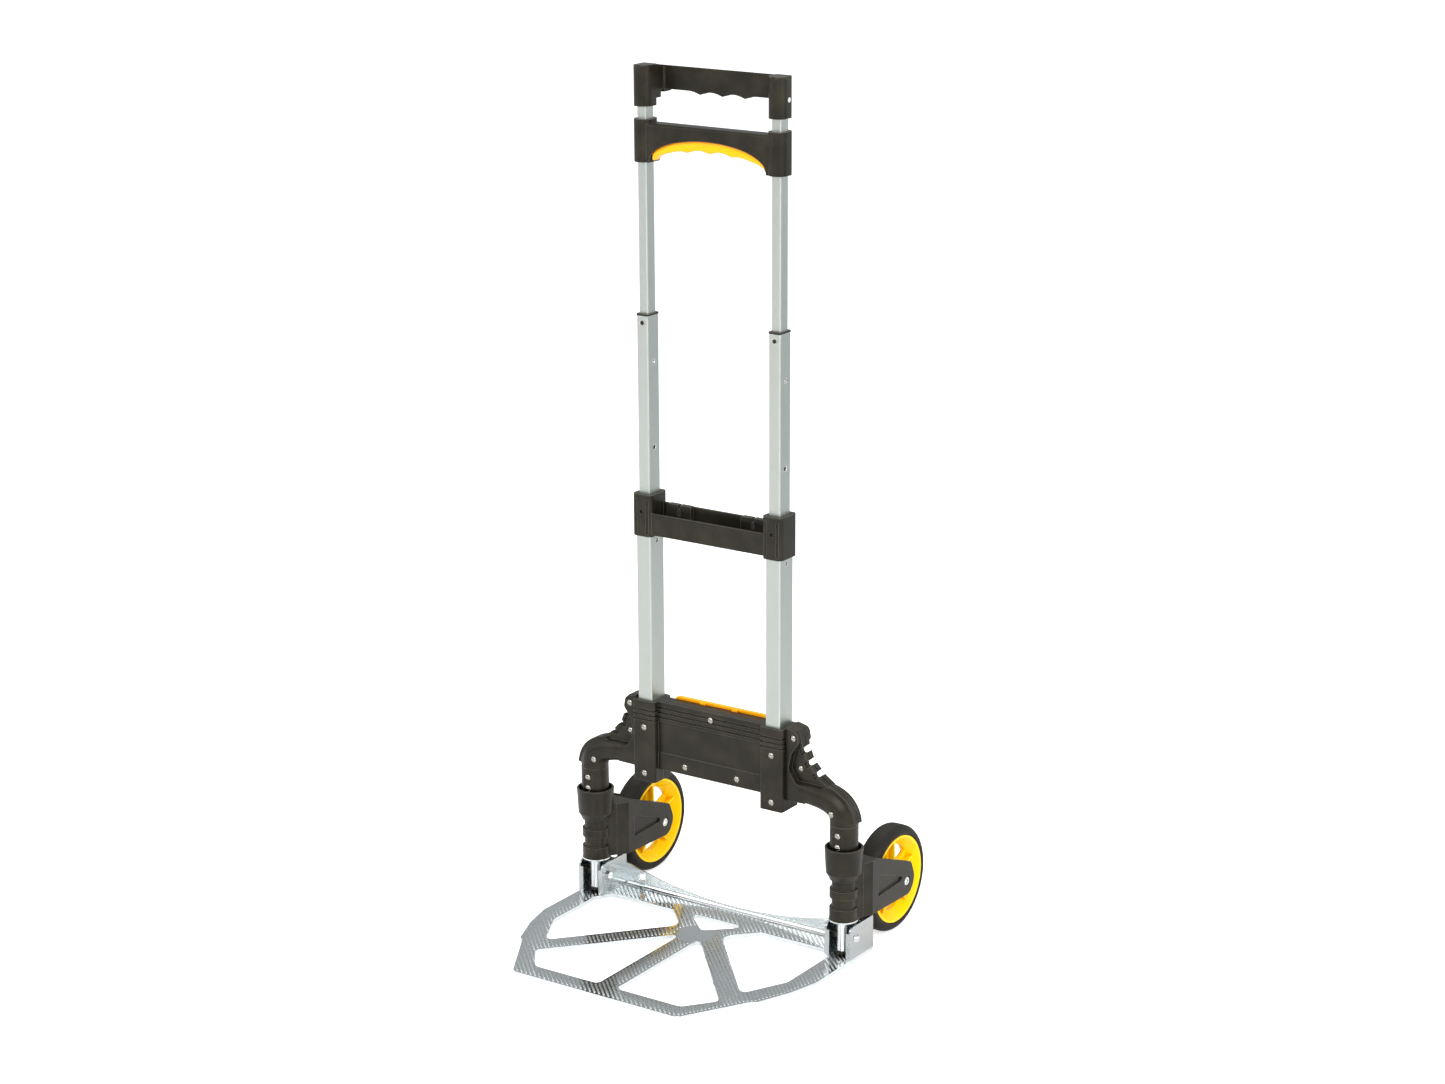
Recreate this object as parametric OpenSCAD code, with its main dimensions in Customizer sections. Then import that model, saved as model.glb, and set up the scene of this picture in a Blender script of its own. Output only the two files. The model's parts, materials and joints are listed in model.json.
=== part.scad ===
// Folding hand truck: a three-stage telescopic handle on two rails, a pressed toe plate that folds up,
// and two wheels on forks that swing in behind the plate as it folds.
// Units are millimetres. X is across the truck, Y points back from the toe plate to the wheels, Z is up.
// The pieces are drawn about the mid-plane of the rails; place() shifts them so that the origin is on the
// floor under the middle of the whole truck.

/* [Rails] */
// Distance between the centres of the two rails
rail_spacing = 176; // [160:1:200]
// Width of the lowest rail, across the truck
lower_rail_w = 19.4; // [18.8:0.1:22]
// Depth of the lowest rail, front to back
lower_rail_d = 27.3; // [26:0.1:30]
// Width of the middle rail
middle_rail_w = 15.1; // [14.6:0.1:15.8]
// Depth of the middle rail
middle_rail_d = 21.7; // [20:0.1:23]
// Width of the upper rail
upper_rail_w = 11.8; // [11:0.1:12.1]
// Depth of the upper rail
upper_rail_d = 15.7; // [14:0.1:17]
// Wall of every rail
rail_wall = 1.2; // [0.8:0.1:1.3]
// Corner radius of every rail
rail_corner = 1.6; // [1.4:0.1:2.2]
// Height of the top of the middle rail
middle_rail_top = 719; // [660:1:760]
// Length of each rail that stays inside the one below
rail_overlap = 62; // [56:1:80]

/* [Handles] */
// Height of the whole truck with the handle out
truck_h = 997; // [960:1:1040]
// Width of each handle cap, across the truck
cap_w = 22; // [20:0.5:26]
// Depth of each handle cap, front to back
cap_d = 27; // [25:0.5:32]
// Height of the top handle's caps
top_cap_h = 45; // [40:1:55]
// Gap between the two handles
handle_gap = 14; // [10:1:30]
// Height of the lower handle's sleeves
lower_sleeve_h = 47; // [44:1:60]
// Width of each finger scallop on the grips
finger_pitch = 29.4; // [26:0.2:32]
// Upward travel of the release trigger
trigger_travel = 5; // [3:0.5:5.5]

/* [Crossbar] */
// Height of the underside of the crossbar's sleeves
crossbar_z = 465; // [420:1:500]
// Height of the crossbar's sleeves
crossbar_h = 49; // [42:1:60]
// Wall of the crossbar's sleeves around the rail
crossbar_wall = 3.5; // [2.5:0.1:4.5]
// Distance between the front and rear walls of the crossbar's channel
channel_d = 25; // [22:1:29]

/* [Housing] */
// Height of the underside of the rail clamps
housing_z = 168; // [160:1:180]
// Height of the rail clamps
housing_h = 99; // [92:1:110]
// Width of each rail clamp
clamp_w = 30.8; // [29:0.2:34]
// Depth of each rail clamp
clamp_d = 35; // [33:0.2:36]
// Depth of the housing between the clamps
panel_d = 20; // [17:0.5:24]
// Wall of the housing shells
shell_wall = 2.4; // [1.8:0.1:3]
// Thickness of the rear cover
cover_t = 5; // [4:0.5:6]

/* [Arms and legs] */
// Distance of each leg's axis in from the toe plate's side edge
leg_inset = 17; // [15:0.5:20]
// Radius of the spigot at the foot of each arm
spigot_r = 16.4; // [15:0.1:17]
// Outer radius of the steel leg tube
leg_r = 8; // [7:0.1:9]
// Height of the hinge pin above the floor
hinge_z = 27.5; // [27.5:0.5:29]
// Width of each cord slot in the arms
cord_slot_w = 6.6; // [5:0.2:7.6]

/* [Wheels] */
// Radius of the wheel's rim under the tyre
rim_r = 52; // [48:0.5:54]
// Thickness of the tyre around the rim
tyre_t = 11.5; // [9:0.5:13]
// Width of the tyres
tyre_w = 28; // [24:1:32]
// Radius of the wheel axle
axle_r = 4; // [3:0.1:5]
// Number of spokes in each rim
rim_spokes = 5; // [4:1:7]
// Distance from the leg's axis back to the tyre
fork_reach = 40.1; // [39.8:0.1:46]
// Width over the fork's two arms
fork_w = 51.2; // [48:0.4:54]

/* [Toe plate] */
// Width of the toe plate
plate_w = 382; // [374:1:400]
// Distance from the legs' axes forward to the plate's front edge
plate_reach = 246; // [230:1:260]
// Height of the plate's top face above the floor
plate_top = 4.5; // [3.5:0.1:4.7]
// Thickness of the plate's metal
sheet_t = 2; // [1.5:0.1:2.2]
// Width of the border left around the cut-outs
plate_border = 27; // [24:0.5:32]
// Height of the rear flange at its middle
flange_mid_z = 8.5; // [7:0.5:12]
// Height of the rear flange at its ends
flange_end_z = 33; // [28:0.5:36]

/* [Hidden] */
$fn = 48;
eps = 0.01;

// clearances: running on round shafts, sliding in sleeves, and seats between fixed pieces
run_gap = 0.05;
slide_gap = 0.3;
seat_gap = 0.02;

rail_x = rail_spacing / 2;

// the housing, the crossbar and the handles, upwards
housing_top = housing_z + housing_h;
crossbar_top = crossbar_z + crossbar_h;
lower_rail_z = housing_z + 4;
lower_rail_top = crossbar_top - 3;
middle_rail_z = lower_rail_top - rail_overlap;
upper_rail_z = middle_rail_top - rail_overlap;
top_cap_z = truck_h - top_cap_h;
lower_sleeve_top = top_cap_z - handle_gap;
lower_sleeve_z = lower_sleeve_top - lower_sleeve_h;
upper_rail_top = truck_h - 6;

// telescoping guides and locks
collar_t = 2.2;
bush_h = 16;
block_h = 30;
block_foot_h = 5;
lock_pin_r = 2.2;
lock_hole_r = 2.5;
lock_rise = 9;
pin_travel = 2;
lock_step = 99;
screw_r = 1.2;
screw_hole_gap = 0.2;
middle_lock_z = middle_rail_z + lock_rise;
upper_lock_z = upper_rail_z + lock_rise;
rod_r = 1.8;

// the housing's face
panel_z = housing_z + 16;
panel_half_w = rail_x - clamp_w / 2;
groove_h = 2.4;
groove_depth = 1.5;
groove_pitch = 5.8;
ledge_rise = 21;
rivet_head_r = 3.4;
rivet_head_h = 1.5;
rivet_r = 1.6;
rivet_sink = 0.6;
clamp_rivet_z = [housing_z + 10, housing_z + 66.5];
panel_rivets = [[0, housing_top - 9.5], [-36, panel_z + 9], [36, panel_z + 9]];

// the arms, in the plane of the seam between their shells
leg_x = plate_w / 2 - leg_inset;
seam_y = 3;
arm_x0 = rail_x + clamp_w / 2;
arm_z = housing_z + 25.5;
arm_r = 12;
arm_depth = 14;
arm_end_z = housing_z - 4;
arm_wall = 2.6;
arm_web_t = 5.5;
web_top = housing_top + 2.5;

// the legs
leg_y = seam_y;
spigot_z = arm_end_z - 53;
neck_r = 12.4;
neck_h = 12;
washer_t = 1.6;
sleeve_r = 13.8;
sleeve_z = hinge_z + 22;
cup_r = 22.3;
cup_wall = 2.8;
cup_floor_z = spigot_z - slide_gap;
cup_top_z = cup_floor_z + 26.5;
foot_h = 4;
leg_tube_z = hinge_z - 16.5;
hinge_pin_r = 3;

// the forks and the wheels; the wheel's plane lies a little inboard of the leg
wheel_inset = 3;
wheel_r = rim_r + tyre_t;
wheel_x = leg_x - wheel_inset;
axle_y = leg_y + fork_reach + wheel_r;
axle_z = wheel_r;
fork_t = 4;
fork_end_r = 18;
fork_z = sleeve_z;
fork_top_z = fork_z + 65;
block_y = leg_y + 29.5;
block_back_y = axle_y - wheel_r - 3;
bush_r = axle_r + 2.5;
hub_r = 13;
hub_w = tyre_w + 2;

// the toe plate and its brackets
plate_y0 = leg_y - plate_reach;
plate_back_y = leg_y + fork_reach - 1.1;
bracket_half_w = 17.3;
bracket_t = 2.4;
bracket_y0 = leg_y - 13;
bracket_top = hinge_z + 16.5;
lip_w = 6;
cord_hole_x = leg_x - 40;
cord_hole_z = 17;
cord_hole_r = 4.5;

// shift from the drawing's mid-plane to the origin
shift_y = -(plate_y0 + axle_y + wheel_r) / 2;

black = "#2b2b27";
alloy = "#b9bcb6";
zinc = "#c9cccd";
yellow = "#f6b50d";

// ---- outlines ----

function unit(v) = v / norm(v);

// one corner [x, y, radius] between its neighbours, as the points of its fillet
function fillet_points(a, b, c, steps) =
  let (
    p = [b[0], b[1]],
    u = unit([a[0], a[1]] - p),
    v = unit([c[0], c[1]] - p),
    half = acos(max(-1, min(1, u * v))) / 2,
    reach = b[2] / tan(half),
    centre = p + unit(u + v) * b[2] / sin(half),
    from = p + u * reach - centre,
    to = p + v * reach - centre,
    a0 = atan2(from[1], from[0]),
    turn = (atan2(to[1], to[0]) - a0 + 540) % 360 - 180
  )
  [for (i = [0:steps]) centre + b[2] * [cos(a0 + turn * i / steps), sin(a0 + turn * i / steps)]];

// a closed outline of corners [x, y, radius], filleted; a radius of 0 keeps the corner sharp
function rounded(c, steps = 6) =
  let (n = len(c))
  [for (i = [0:n - 1]) each c[i][2] <= 0
    ? [[c[i][0], c[i][1]]]
    : fillet_points(c[(i + n - 1) % n], c[i], c[(i + 1) % n], steps)];

// an anticlockwise outline of corners moved inwards by d, its fillets kept concentric
function inset(c, d) =
  let (n = len(c))
  [for (i = [0:n - 1])
    let (
      p = [c[i][0], c[i][1]],
      e1 = unit(p - [c[(i + n - 1) % n][0], c[(i + n - 1) % n][1]]),
      e2 = unit([c[(i + 1) % n][0], c[(i + 1) % n][1]] - p),
      n1 = [-e1[1], e1[0]],
      n2 = [-e2[1], e2[0]],
      convex = e1[0] * e2[1] - e1[1] * e2[0] > 0,
      q = p + (n1 + n2) * d / (1 + n1 * n2)
    )
    [q[0], q[1], max(0.3, convex ? c[i][2] - d : c[i][2] + d)]];

function mirrored(c) = [for (i = [len(c) - 1:-1:0]) [-c[i][0], c[i][1], c[i][2]]];

// corners of a box w by d about the origin, all with radius r
function box_corners(w, d, r) =
  [[-w / 2, -d / 2, r], [w / 2, -d / 2, r], [w / 2, d / 2, r], [-w / 2, d / 2, r]];

// ---- placing ----

module place() translate([0, shift_y, 0]) children();

// the right-hand piece as drawn, or its mirror image on the left
module on_side(side) if (side < 0) mirror([1, 0, 0]) children(); else children();

// along the Y axis, from y0 to y1, an outline drawn in X and Z
module across(y0, y1) translate([0, y1, 0]) rotate([90, 0, 0]) linear_extrude(y1 - y0) children();

// along the X axis, from x0 to x1, an outline drawn in Y and Z
module along_x(x0, x1) translate([x0, 0, 0]) rotate([90, 0, 90]) linear_extrude(x1 - x0) children();

module upright(z0, z1) translate([0, 0, z0]) linear_extrude(z1 - z0) children();

module rod_x(r, x0, x1, y, z) translate([x0, y, z]) rotate([0, 90, 0]) cylinder(r = r, h = x1 - x0);

module rod_y(r, y0, y1, x, z) translate([x, y1, z]) rotate([90, 0, 0]) cylinder(r = r, h = y1 - y0);

module rod_z(r, z0, z1, x, y) translate([x, y, z0]) cylinder(r = r, h = z1 - z0);

// a closed skin over m rings of n points each, listed ring by ring; each flat end fans from its ring's last point
module swept(points, m, n) {
  walls = [for (i = [0:m - 2]) for (k = [0:n - 1])
    let (a = i * n + k, b = i * n + (k + 1) % n)
    each [[a, b + n, b], [a, a + n, b + n]]];
  last = (m - 1) * n;
  ends = [for (k = [0:n - 3]) each [[n - 1, k, k + 1], [last + n - 1, last + k + 1, last + k]]];
  polyhedron(points, concat(walls, ends), convexity = 6);
}

module box2d(w, d, r) polygon(rounded(box_corners(w, d, r)));

module stadium2d(w, d) {
  square([w, d - w], center = true);
  for (s = [-1, 1])
    translate([0, s * (d - w) / 2])
      circle(d = w);
}

// the shallow recess that a rivet's head sits in, down to y0, and the hole for its shank
module rivet_seat(x, y0, z, depth) {
  rod_y(rivet_head_r + 0.7, y0 - 20, y0, x, z);
  rod_y(rivet_r + seat_gap, y0 - 1, y0 + depth, x, z);
}

// a low dome on a short shank, its head facing -Y at y0
module rivet(x, y0, z, shank) {
  dome_r = (pow(rivet_head_r, 2) + pow(rivet_head_h, 2)) / (2 * rivet_head_h);
  intersection() {
    translate([x, y0 - rivet_head_h + dome_r, z])
      sphere(r = dome_r);
    rod_y(rivet_head_r, y0 - rivet_head_h - 1, y0, x, z);
  }
  rod_y(rivet_r, y0 - eps, y0 + shank, x, z);
}

// ---- rails, guides and locks ----

module rail(w, d, z0, z1)
  upright(z0, z1)
    difference() {
      box2d(w, d, rail_corner);
      box2d(w - 2 * rail_wall, d - 2 * rail_wall, rail_corner - rail_wall);
    }

module lower_rail(side)
  color(alloy) place()
    difference() {
      translate([side * rail_x, 0, 0])
        rail(lower_rail_w, lower_rail_d, lower_rail_z, lower_rail_top);
      rod_x(lock_hole_r, side * rail_x, side * rail_x + lower_rail_w, 0, middle_lock_z);
      for (z = clamp_rivet_z)
        rod_y(rivet_r + seat_gap, -lower_rail_d, lower_rail_d, side * rail_x, z);
      rod_y(screw_r + screw_hole_gap, -lower_rail_d, 0, side * rail_x, crossbar_screw_z);
    }

module middle_rail(side)
  color(alloy) place()
    difference() {
      translate([side * rail_x, 0, 0])
        rail(middle_rail_w, middle_rail_d, middle_rail_z, middle_rail_top);
      for (z = [upper_lock_z, upper_lock_z - lock_step])
        rod_x(lock_hole_r, side * rail_x, side * rail_x + middle_rail_w, 0, z);
      rod_x(lock_pin_r + slide_gap, side * rail_x, side * rail_x + middle_rail_w, 0, middle_lock_z);
      rod_y(collar_stud_r + seat_gap, -middle_rail_d, 0, side * rail_x, collar_stud_z);
    }

module upper_rail(side)
  color(alloy) place()
    difference() {
      translate([side * rail_x, 0, 0])
        rail(upper_rail_w, upper_rail_d, upper_rail_z, upper_rail_top);
      rod_x(lock_pin_r + slide_gap, side * rail_x, side * rail_x + upper_rail_w, 0, upper_lock_z);
      // slot for the trigger's tab, in the inboard wall
      on_side(side)
        translate([rail_x - upper_rail_w, 0, 0])
          along_x(0, upper_rail_w)
            translate([-tab_w / 2 - slide_gap, tab_z - slide_gap])
              square([tab_w + 2 * slide_gap, tab_h + trigger_travel + 2 * slide_gap]);
      on_side(side) {
        rod_x(screw_r + screw_hole_gap, rail_x, rail_x + upper_rail_w, 0, cap_screw_z);
        rod_y(screw_r + screw_hole_gap, 0, upper_rail_d, rail_x, sleeve_screw_z);
      }
    }

// a guide that lines the mouth of one rail, around the next rail; its stud snaps into the rail's front
collar_stud_r = 2.4;
collar_stud_z = middle_rail_top - 8;
collar_rim = 0.5;

module mouth_guide(outer_w, outer_d, inner_w, inner_d, z_top, rim) {
  fit = 2 * (rail_wall + seat_gap);
  difference() {
    union() {
      upright(z_top - bush_h, z_top)
        box2d(outer_w - fit, outer_d - fit, rail_corner - rail_wall);
      if (rim > 0)
        upright(z_top, z_top + collar_t)
          box2d(outer_w + 2 * collar_rim, outer_d + 2 * collar_rim, rail_corner + collar_rim);
    }
    upright(z_top - bush_h - 1, z_top + collar_t + 1)
      box2d(inner_w + 2 * guide_gap, inner_d + 2 * guide_gap, rail_corner);
  }
}
guide_gap = 0.08;

module rail_bush(side)
  color(black) place()
    translate([side * rail_x, 0, 0])
      mouth_guide(lower_rail_w, lower_rail_d, middle_rail_w, middle_rail_d, lower_rail_top, 0);

module middle_collar(side)
  color(black) place()
    translate([side * rail_x, 0, 0]) {
      mouth_guide(middle_rail_w, middle_rail_d, upper_rail_w, upper_rail_d, middle_rail_top, collar_rim);
      rod_y(collar_stud_r, -middle_rail_d / 2 - 0.4, -middle_rail_d / 2 + rail_wall + 0.4, 0, collar_stud_z);
    }

// a plug in the foot of a moving rail, with a shoe below it that fills the rail outside, and a bore for its pin
module lock_block(side, w, d, outer_w, outer_d, z0, rod_bore) {
  fit = 2 * (rail_wall + seat_gap);
  shoe_fit = 2 * (rail_wall + guide_gap);
  translate([side * rail_x, 0, 0])
    difference() {
      union() {
        upright(z0 - block_foot_h, z0)
          box2d(outer_w - shoe_fit, outer_d - shoe_fit, rail_corner - rail_wall);
        upright(z0, z0 + block_h)
          box2d(w - fit, d - fit, rail_corner - rail_wall);
      }
      rod_x(lock_pin_r + run_gap, pin_tail(w) - pin_travel, w, 0, z0 + lock_rise);
      if (rod_bore)
        rod_z(rod_r + run_gap, z0 + block_h - 8, z0 + block_h + 1, 0, 0);
    }
}

// where a lock pin in a rail of width w begins, and where its tip stops, just inside the next rail's wall
function pin_tail(w) = -(w / 2 - rail_wall) + 0.8 + pin_travel;
function pin_tip(outer_w) = outer_w / 2 - rail_wall - 0.15;
spring_r = 1.0;
spring_wire = 0.25;

module lock_pins(w, outer_w, z)
  for (side = [-1, 1])
    translate([side * rail_x, 0, 0])
      difference() {
        union() {
          rod_x(lock_pin_r, pin_tail(w), pin_tip(outer_w) - 0.6, 0, z);
          translate([pin_tip(outer_w) - 0.6, 0, z])
            rotate([0, 90, 0])
              cylinder(r1 = lock_pin_r, r2 = lock_pin_r - 0.6, h = 0.6);
        }
        rod_x(spring_r + spring_wire + 0.25, pin_tail(w) - 1, pin_tip(outer_w) - 1.6, 0, z);
      }

// a compression spring along X, from x0 to x1, as one swept tube
module spring_x(x0, x1, y, z, turns) {
  sides = 5;
  per_turn = 10;
  rings = turns * per_turn;
  function ring(i) =
    let (a = 360 * i / per_turn, x = x0 + spring_wire + (x1 - x0 - 2 * spring_wire) * i / rings)
    [for (k = [0:sides - 1])
      let (b = 360 * k / sides, r = spring_r + spring_wire * cos(b))
      [x - spring_wire * sin(b), y + r * cos(a), z + r * sin(a)]];
  points = [for (i = [0:rings]) each ring(i)];
  swept(points, rings + 1, sides);
}

module lock_springs(w, outer_w, z)
  for (side = [-1, 1])
    spring_x(
      side * rail_x + pin_tail(w) - pin_travel + eps,
      side * rail_x + pin_tip(outer_w) - 1.8 - pin_travel,
      0, z, 3
    );

module middle_lock_block(side)
  color(black) place()
    lock_block(side, middle_rail_w, middle_rail_d, lower_rail_w, lower_rail_d, middle_rail_z, false);

module upper_lock_block(side)
  color(black) place()
    lock_block(side, upper_rail_w, upper_rail_d, middle_rail_w, middle_rail_d, upper_rail_z, true);

module middle_lock_pins() color(zinc) place() lock_pins(middle_rail_w, lower_rail_w, middle_lock_z);

module upper_lock_pins() color(zinc) place() lock_pins(upper_rail_w, middle_rail_w, upper_lock_z);

module middle_lock_springs() color(zinc) place() lock_springs(middle_rail_w, lower_rail_w, middle_lock_z);

module upper_lock_springs() color(zinc) place() lock_springs(upper_rail_w, middle_rail_w, upper_lock_z);

// ---- housing ----

module clamp2d()
  for (s = [-1, 1])
    translate([s * rail_x, 0])
      box2d(clamp_w, clamp_d, 3);

module housing_solid() {
  upright(housing_z, housing_top)
    clamp2d();
  upright(panel_z, housing_top)
    translate([-panel_half_w - 1, -panel_d / 2])
      square([2 * panel_half_w + 2, panel_d]);
}

// one half of the housing: the whole form, hollowed, cut at the seam and kept on one side
module housing_half(s) {
  difference() {
    intersection() {
      housing_solid();
      translate([-arm_x0 - 1, s < 0 ? -clamp_d : 0, housing_z - 1])
        cube([2 * arm_x0 + 2, clamp_d, housing_h + 2]);
    }
    // channels for the rails
    for (k = [-1, 1])
      translate([k * rail_x, 0, 0])
        upright(lower_rail_z, housing_top + 1)
          box2d(lower_rail_w + 2 * seat_gap, lower_rail_d + 2 * seat_gap, rail_corner);
    // hollow behind the panel, around the rivets' bosses
    difference() {
      translate([-panel_half_w + 1, -panel_d / 2 + shell_wall, panel_z + shell_wall])
        cube([2 * panel_half_w - 2, panel_d - 2 * shell_wall, housing_top - panel_z - 2 * shell_wall]);
      for (p = panel_rivets)
        rod_y(4.5, -panel_d, panel_d, p[0], p[1]);
    }
    // key slots for the arms' tongues
    for (k = [-1, 1])
      on_side(k)
        tongue(seat_gap);
    for (p = panel_rivets)
      rivet_seat(p[0], -panel_d / 2 + rivet_sink, p[1], 2 * panel_d);
    for (k = [-1, 1])
      for (z = clamp_rivet_z)
        rivet_seat(k * rail_x, -clamp_d / 2 + rivet_sink, z, 2 * clamp_d);
    // grooves around the clamps
    for (i = [0:2])
      upright(housing_top - 10 - i * groove_pitch - groove_h, housing_top - 10 - i * groove_pitch)
        for (k = [-1, 1])
          translate([k * rail_x, 0])
            difference() {
              square([clamp_w + 2, clamp_d + 2], center = true);
              box2d(clamp_w - 2 * groove_depth, clamp_d - 2 * groove_depth, 2.4);
              translate([-k * clamp_w / 2, 0])
                square([2 * groove_depth + 1, panel_d], center = true);
            }
    // grooves and the sunk field on the front panel
    if (s < 0) {
      for (i = [0:2])
        translate([-panel_half_w, -panel_d / 2 - 1, housing_top - 6 - i * groove_pitch - groove_h])
          cube([2 * panel_half_w, 1 + groove_depth, groove_h]);
      translate([-panel_half_w, -panel_d / 2 - 1, panel_z + ledge_rise])
        cube([2 * panel_half_w, 2, housing_top - 24 - panel_z - ledge_rise]);
    }
  }
}

module housing_front_shell() color(black) place() housing_half(-1);

module housing_rear_shell() color(black) place() housing_half(1);

// the cover on the housing's back, with two catches at its top edge
catch_x = 22;
catch_w = 8;
module rear_cover()
  color(yellow) place() {
    half_w = panel_half_w - 11;
    difference() {
      across(panel_d / 2, panel_d / 2 + cover_t)
        polygon(rounded([[-half_w, panel_z + 3, 6], [half_w, panel_z + 3, 6],
          [half_w, housing_top + 3, 4], [-half_w, housing_top + 3, 4]]));
      across(panel_d / 2 + cover_t - 1, panel_d / 2 + cover_t + 1)
        polygon(rounded([[-half_w + 7, panel_z + 10, 4], [half_w - 7, panel_z + 10, 4],
          [half_w - 7, housing_top - 4, 4], [-half_w + 7, housing_top - 4, 4]]));
    }
    for (x = [-catch_x, catch_x])
      translate([x - catch_w / 2, panel_d / 2 - 2.5, housing_top])
        cube([catch_w, 2.5 + eps, 2]);
  }

module housing_rivets()
  color(zinc) place() {
    for (p = panel_rivets)
      rivet(p[0], -panel_d / 2 + rivet_sink, p[1], panel_d - 1.6);
    for (s = [-1, 1])
      for (z = clamp_rivet_z)
        rivet(s * rail_x, -clamp_d / 2 + rivet_sink, z, clamp_d - 1.6);
  }

// ---- arms ----

// the arm's centre line, a cubic curve in X and Z from the clamp's side to the top of the leg
arm_curve = [[arm_x0, arm_z], [leg_x - 24, arm_z], [leg_x, arm_z - 3.5], [leg_x, arm_end_z]];

function arm_point(t) =
  pow(1 - t, 3) * arm_curve[0] + 3 * pow(1 - t, 2) * t * arm_curve[1]
    + 3 * (1 - t) * t * t * arm_curve[2] + pow(t, 3) * arm_curve[3];

function arm_heading(t) =
  unit(pow(1 - t, 2) * (arm_curve[1] - arm_curve[0]) + 2 * (1 - t) * t * (arm_curve[2] - arm_curve[1])
    + t * t * (arm_curve[3] - arm_curve[2]));

arm_stations = [0, 0.15, 0.26, 0.34, 0.38, for (i = [0:10]) 0.42 + 0.054 * i, 0.968, 1];

// the flange along the arm's outer edge: its thickness, half its depth, and the groove at the seam
flange_t = 3.2;
flange_d = 8;
flange_start = 0.34;
flange_end = 0.965;
groove_d = 1.5;
groove_r = 1.4;

// how far the flange stands out of the tube at t: it leaves the web's edge, and stops above the arm's end
function flange_at(t) = t > flange_end ? 0 : flange_t * max(0, min(1, (t - flange_start) / 0.08));

// a point of the tube's section at the angle v: [outwards, depth]; squarer for a smaller exponent e
function on_section(a, b, e, v) = [a * sign(cos(v)) * pow(abs(cos(v)), e), -b * pow(sin(v), e)];

// half of the arm's tube at one station, in the plane across it, from the seam round to the seam. The outer
// form grows a flange h high; the hollow runs 1 mm past the seam.
function half_ring(a, b, e, h, hollow) =
  let (
    k = h / flange_t,
    edge = [[a + h - groove_r, 0], [a + h, -groove_d], [a + h, 1 - flange_d], [a + h - 1, -flange_d],
      [a * 0.93, -flange_d - 0.4]]
  )
  concat(
    hollow
      ? [[a, 1], on_section(a, b, e, 15)]
      : [for (i = [0:4]) (1 - k) * on_section(a, b, e, 7 * i) + k * edge[i]],
    [for (i = [1:9]) on_section(a, b, e, 20 + 16 * i)],
    hollow ? [[-a, 1], [0, 1]] : [[-a, 0], [0, 0]]
  );

module arm_sweep(shrink, past) {
  hollow = shrink > 0;
  m = len(arm_stations);
  n = len(half_ring(1, 1, 1, 1, hollow));
  points = [for (i = [0:m - 1])
    let (
      t = arm_stations[i],
      u = arm_heading(t),
      q = arm_point(t) + (i == 0 ? -past : i == m - 1 ? past : 0) * u,
      a = arm_r + (spigot_r - arm_r) * t - shrink,
      b = arm_depth + (spigot_r - arm_depth) * t - shrink
    )
    for (p = half_ring(a, b, 0.7 + 0.3 * t, flange_at(t), hollow))
      [q[0] - p[0] * u[1], seam_y + p[1], q[1] + p[0] * u[0]]];
  swept(points, m, n);
}

// the web above the arm's tube, up against the clamp, with a lobe at its top
web_corners = [
  [arm_x0, arm_z, 0],
  [leg_x - 18, arm_z + 4, 0],
  [leg_x - 17, arm_z + 12.8, 0],
  [arm_x0 + 41, web_top - 55, 12],
  [arm_x0 + 26, web_top - 39.2, 10],
  [arm_x0 + 19.7, web_top - 23.7, 6],
  [arm_x0 + 16.2, web_top - 3.4, 8],
  [arm_x0, web_top, 0]
];
// the part of it inside the flange, open towards the clamp
web_field = [for (c = inset(web_corners, flange_t)) c[0] < arm_x0 + 2 * flange_t ? [arm_x0 - 1, c[1], 0] : c];

// the flare in front of the web: the tube's root spread up the clamp's side and out into the lobe
flare_d = 13.5;
flare_corners = [
  [arm_x0, arm_z - arm_r + 0.5, 0],
  [arm_x0 + 26, arm_z - arm_r + 1, 0],
  [arm_x0 + 26, arm_z + 9.5, 0],
  [arm_x0 + 14, arm_z + 10.5, 6],
  [arm_x0 + 3.5, arm_z + 26, 12],
  [arm_x0 + 8, web_top - 30, 8],
  [arm_x0 + 17.5, web_top - 17, 5],
  [arm_x0 + 15, web_top - 4, 7],
  [arm_x0, web_top - 0.5, 0]
];

// rivets [x, y0, z] of an arm: at the lobe, in the web and at the bend
arm_rivet_at = [
  [arm_x0 + 9.6, seam_y - flare_d + rivet_sink, web_top - 11.5],
  [arm_x0 + 14.7, seam_y - arm_web_t + rivet_sink, web_top - 49],
  [leg_x - 8.8, seam_y - arm_depth - 0.8, arm_end_z + 13.6]
];

// a tongue that keys the arm into the side of its clamp
module tongue(grow)
  translate([arm_x0 - 3 - grow, seam_y - 5 - grow, arm_z - 10 - grow])
    cube([3 + 2 * grow, 10 + 2 * grow, 54 + 2 * grow]);

// slots for elastic cords, cut slantwise through the flange; each ends in a round seat at its [x, z]
cord_seats = [
  [arm_x0 + 16.7, web_top - 28.9], [arm_x0 + 23.3, web_top - 43.3], [arm_x0 + 34, web_top - 55]
];
hook_angle = 42;

module cord_slots()
  for (p = cord_seats)
    translate([p[0], 0, p[1]])
      across(-clamp_d, clamp_d)
        rotate(hook_angle) {
          circle(d = cord_slot_w);
          translate([0, -cord_slot_w / 2])
            square([14, cord_slot_w]);
        }

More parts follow.
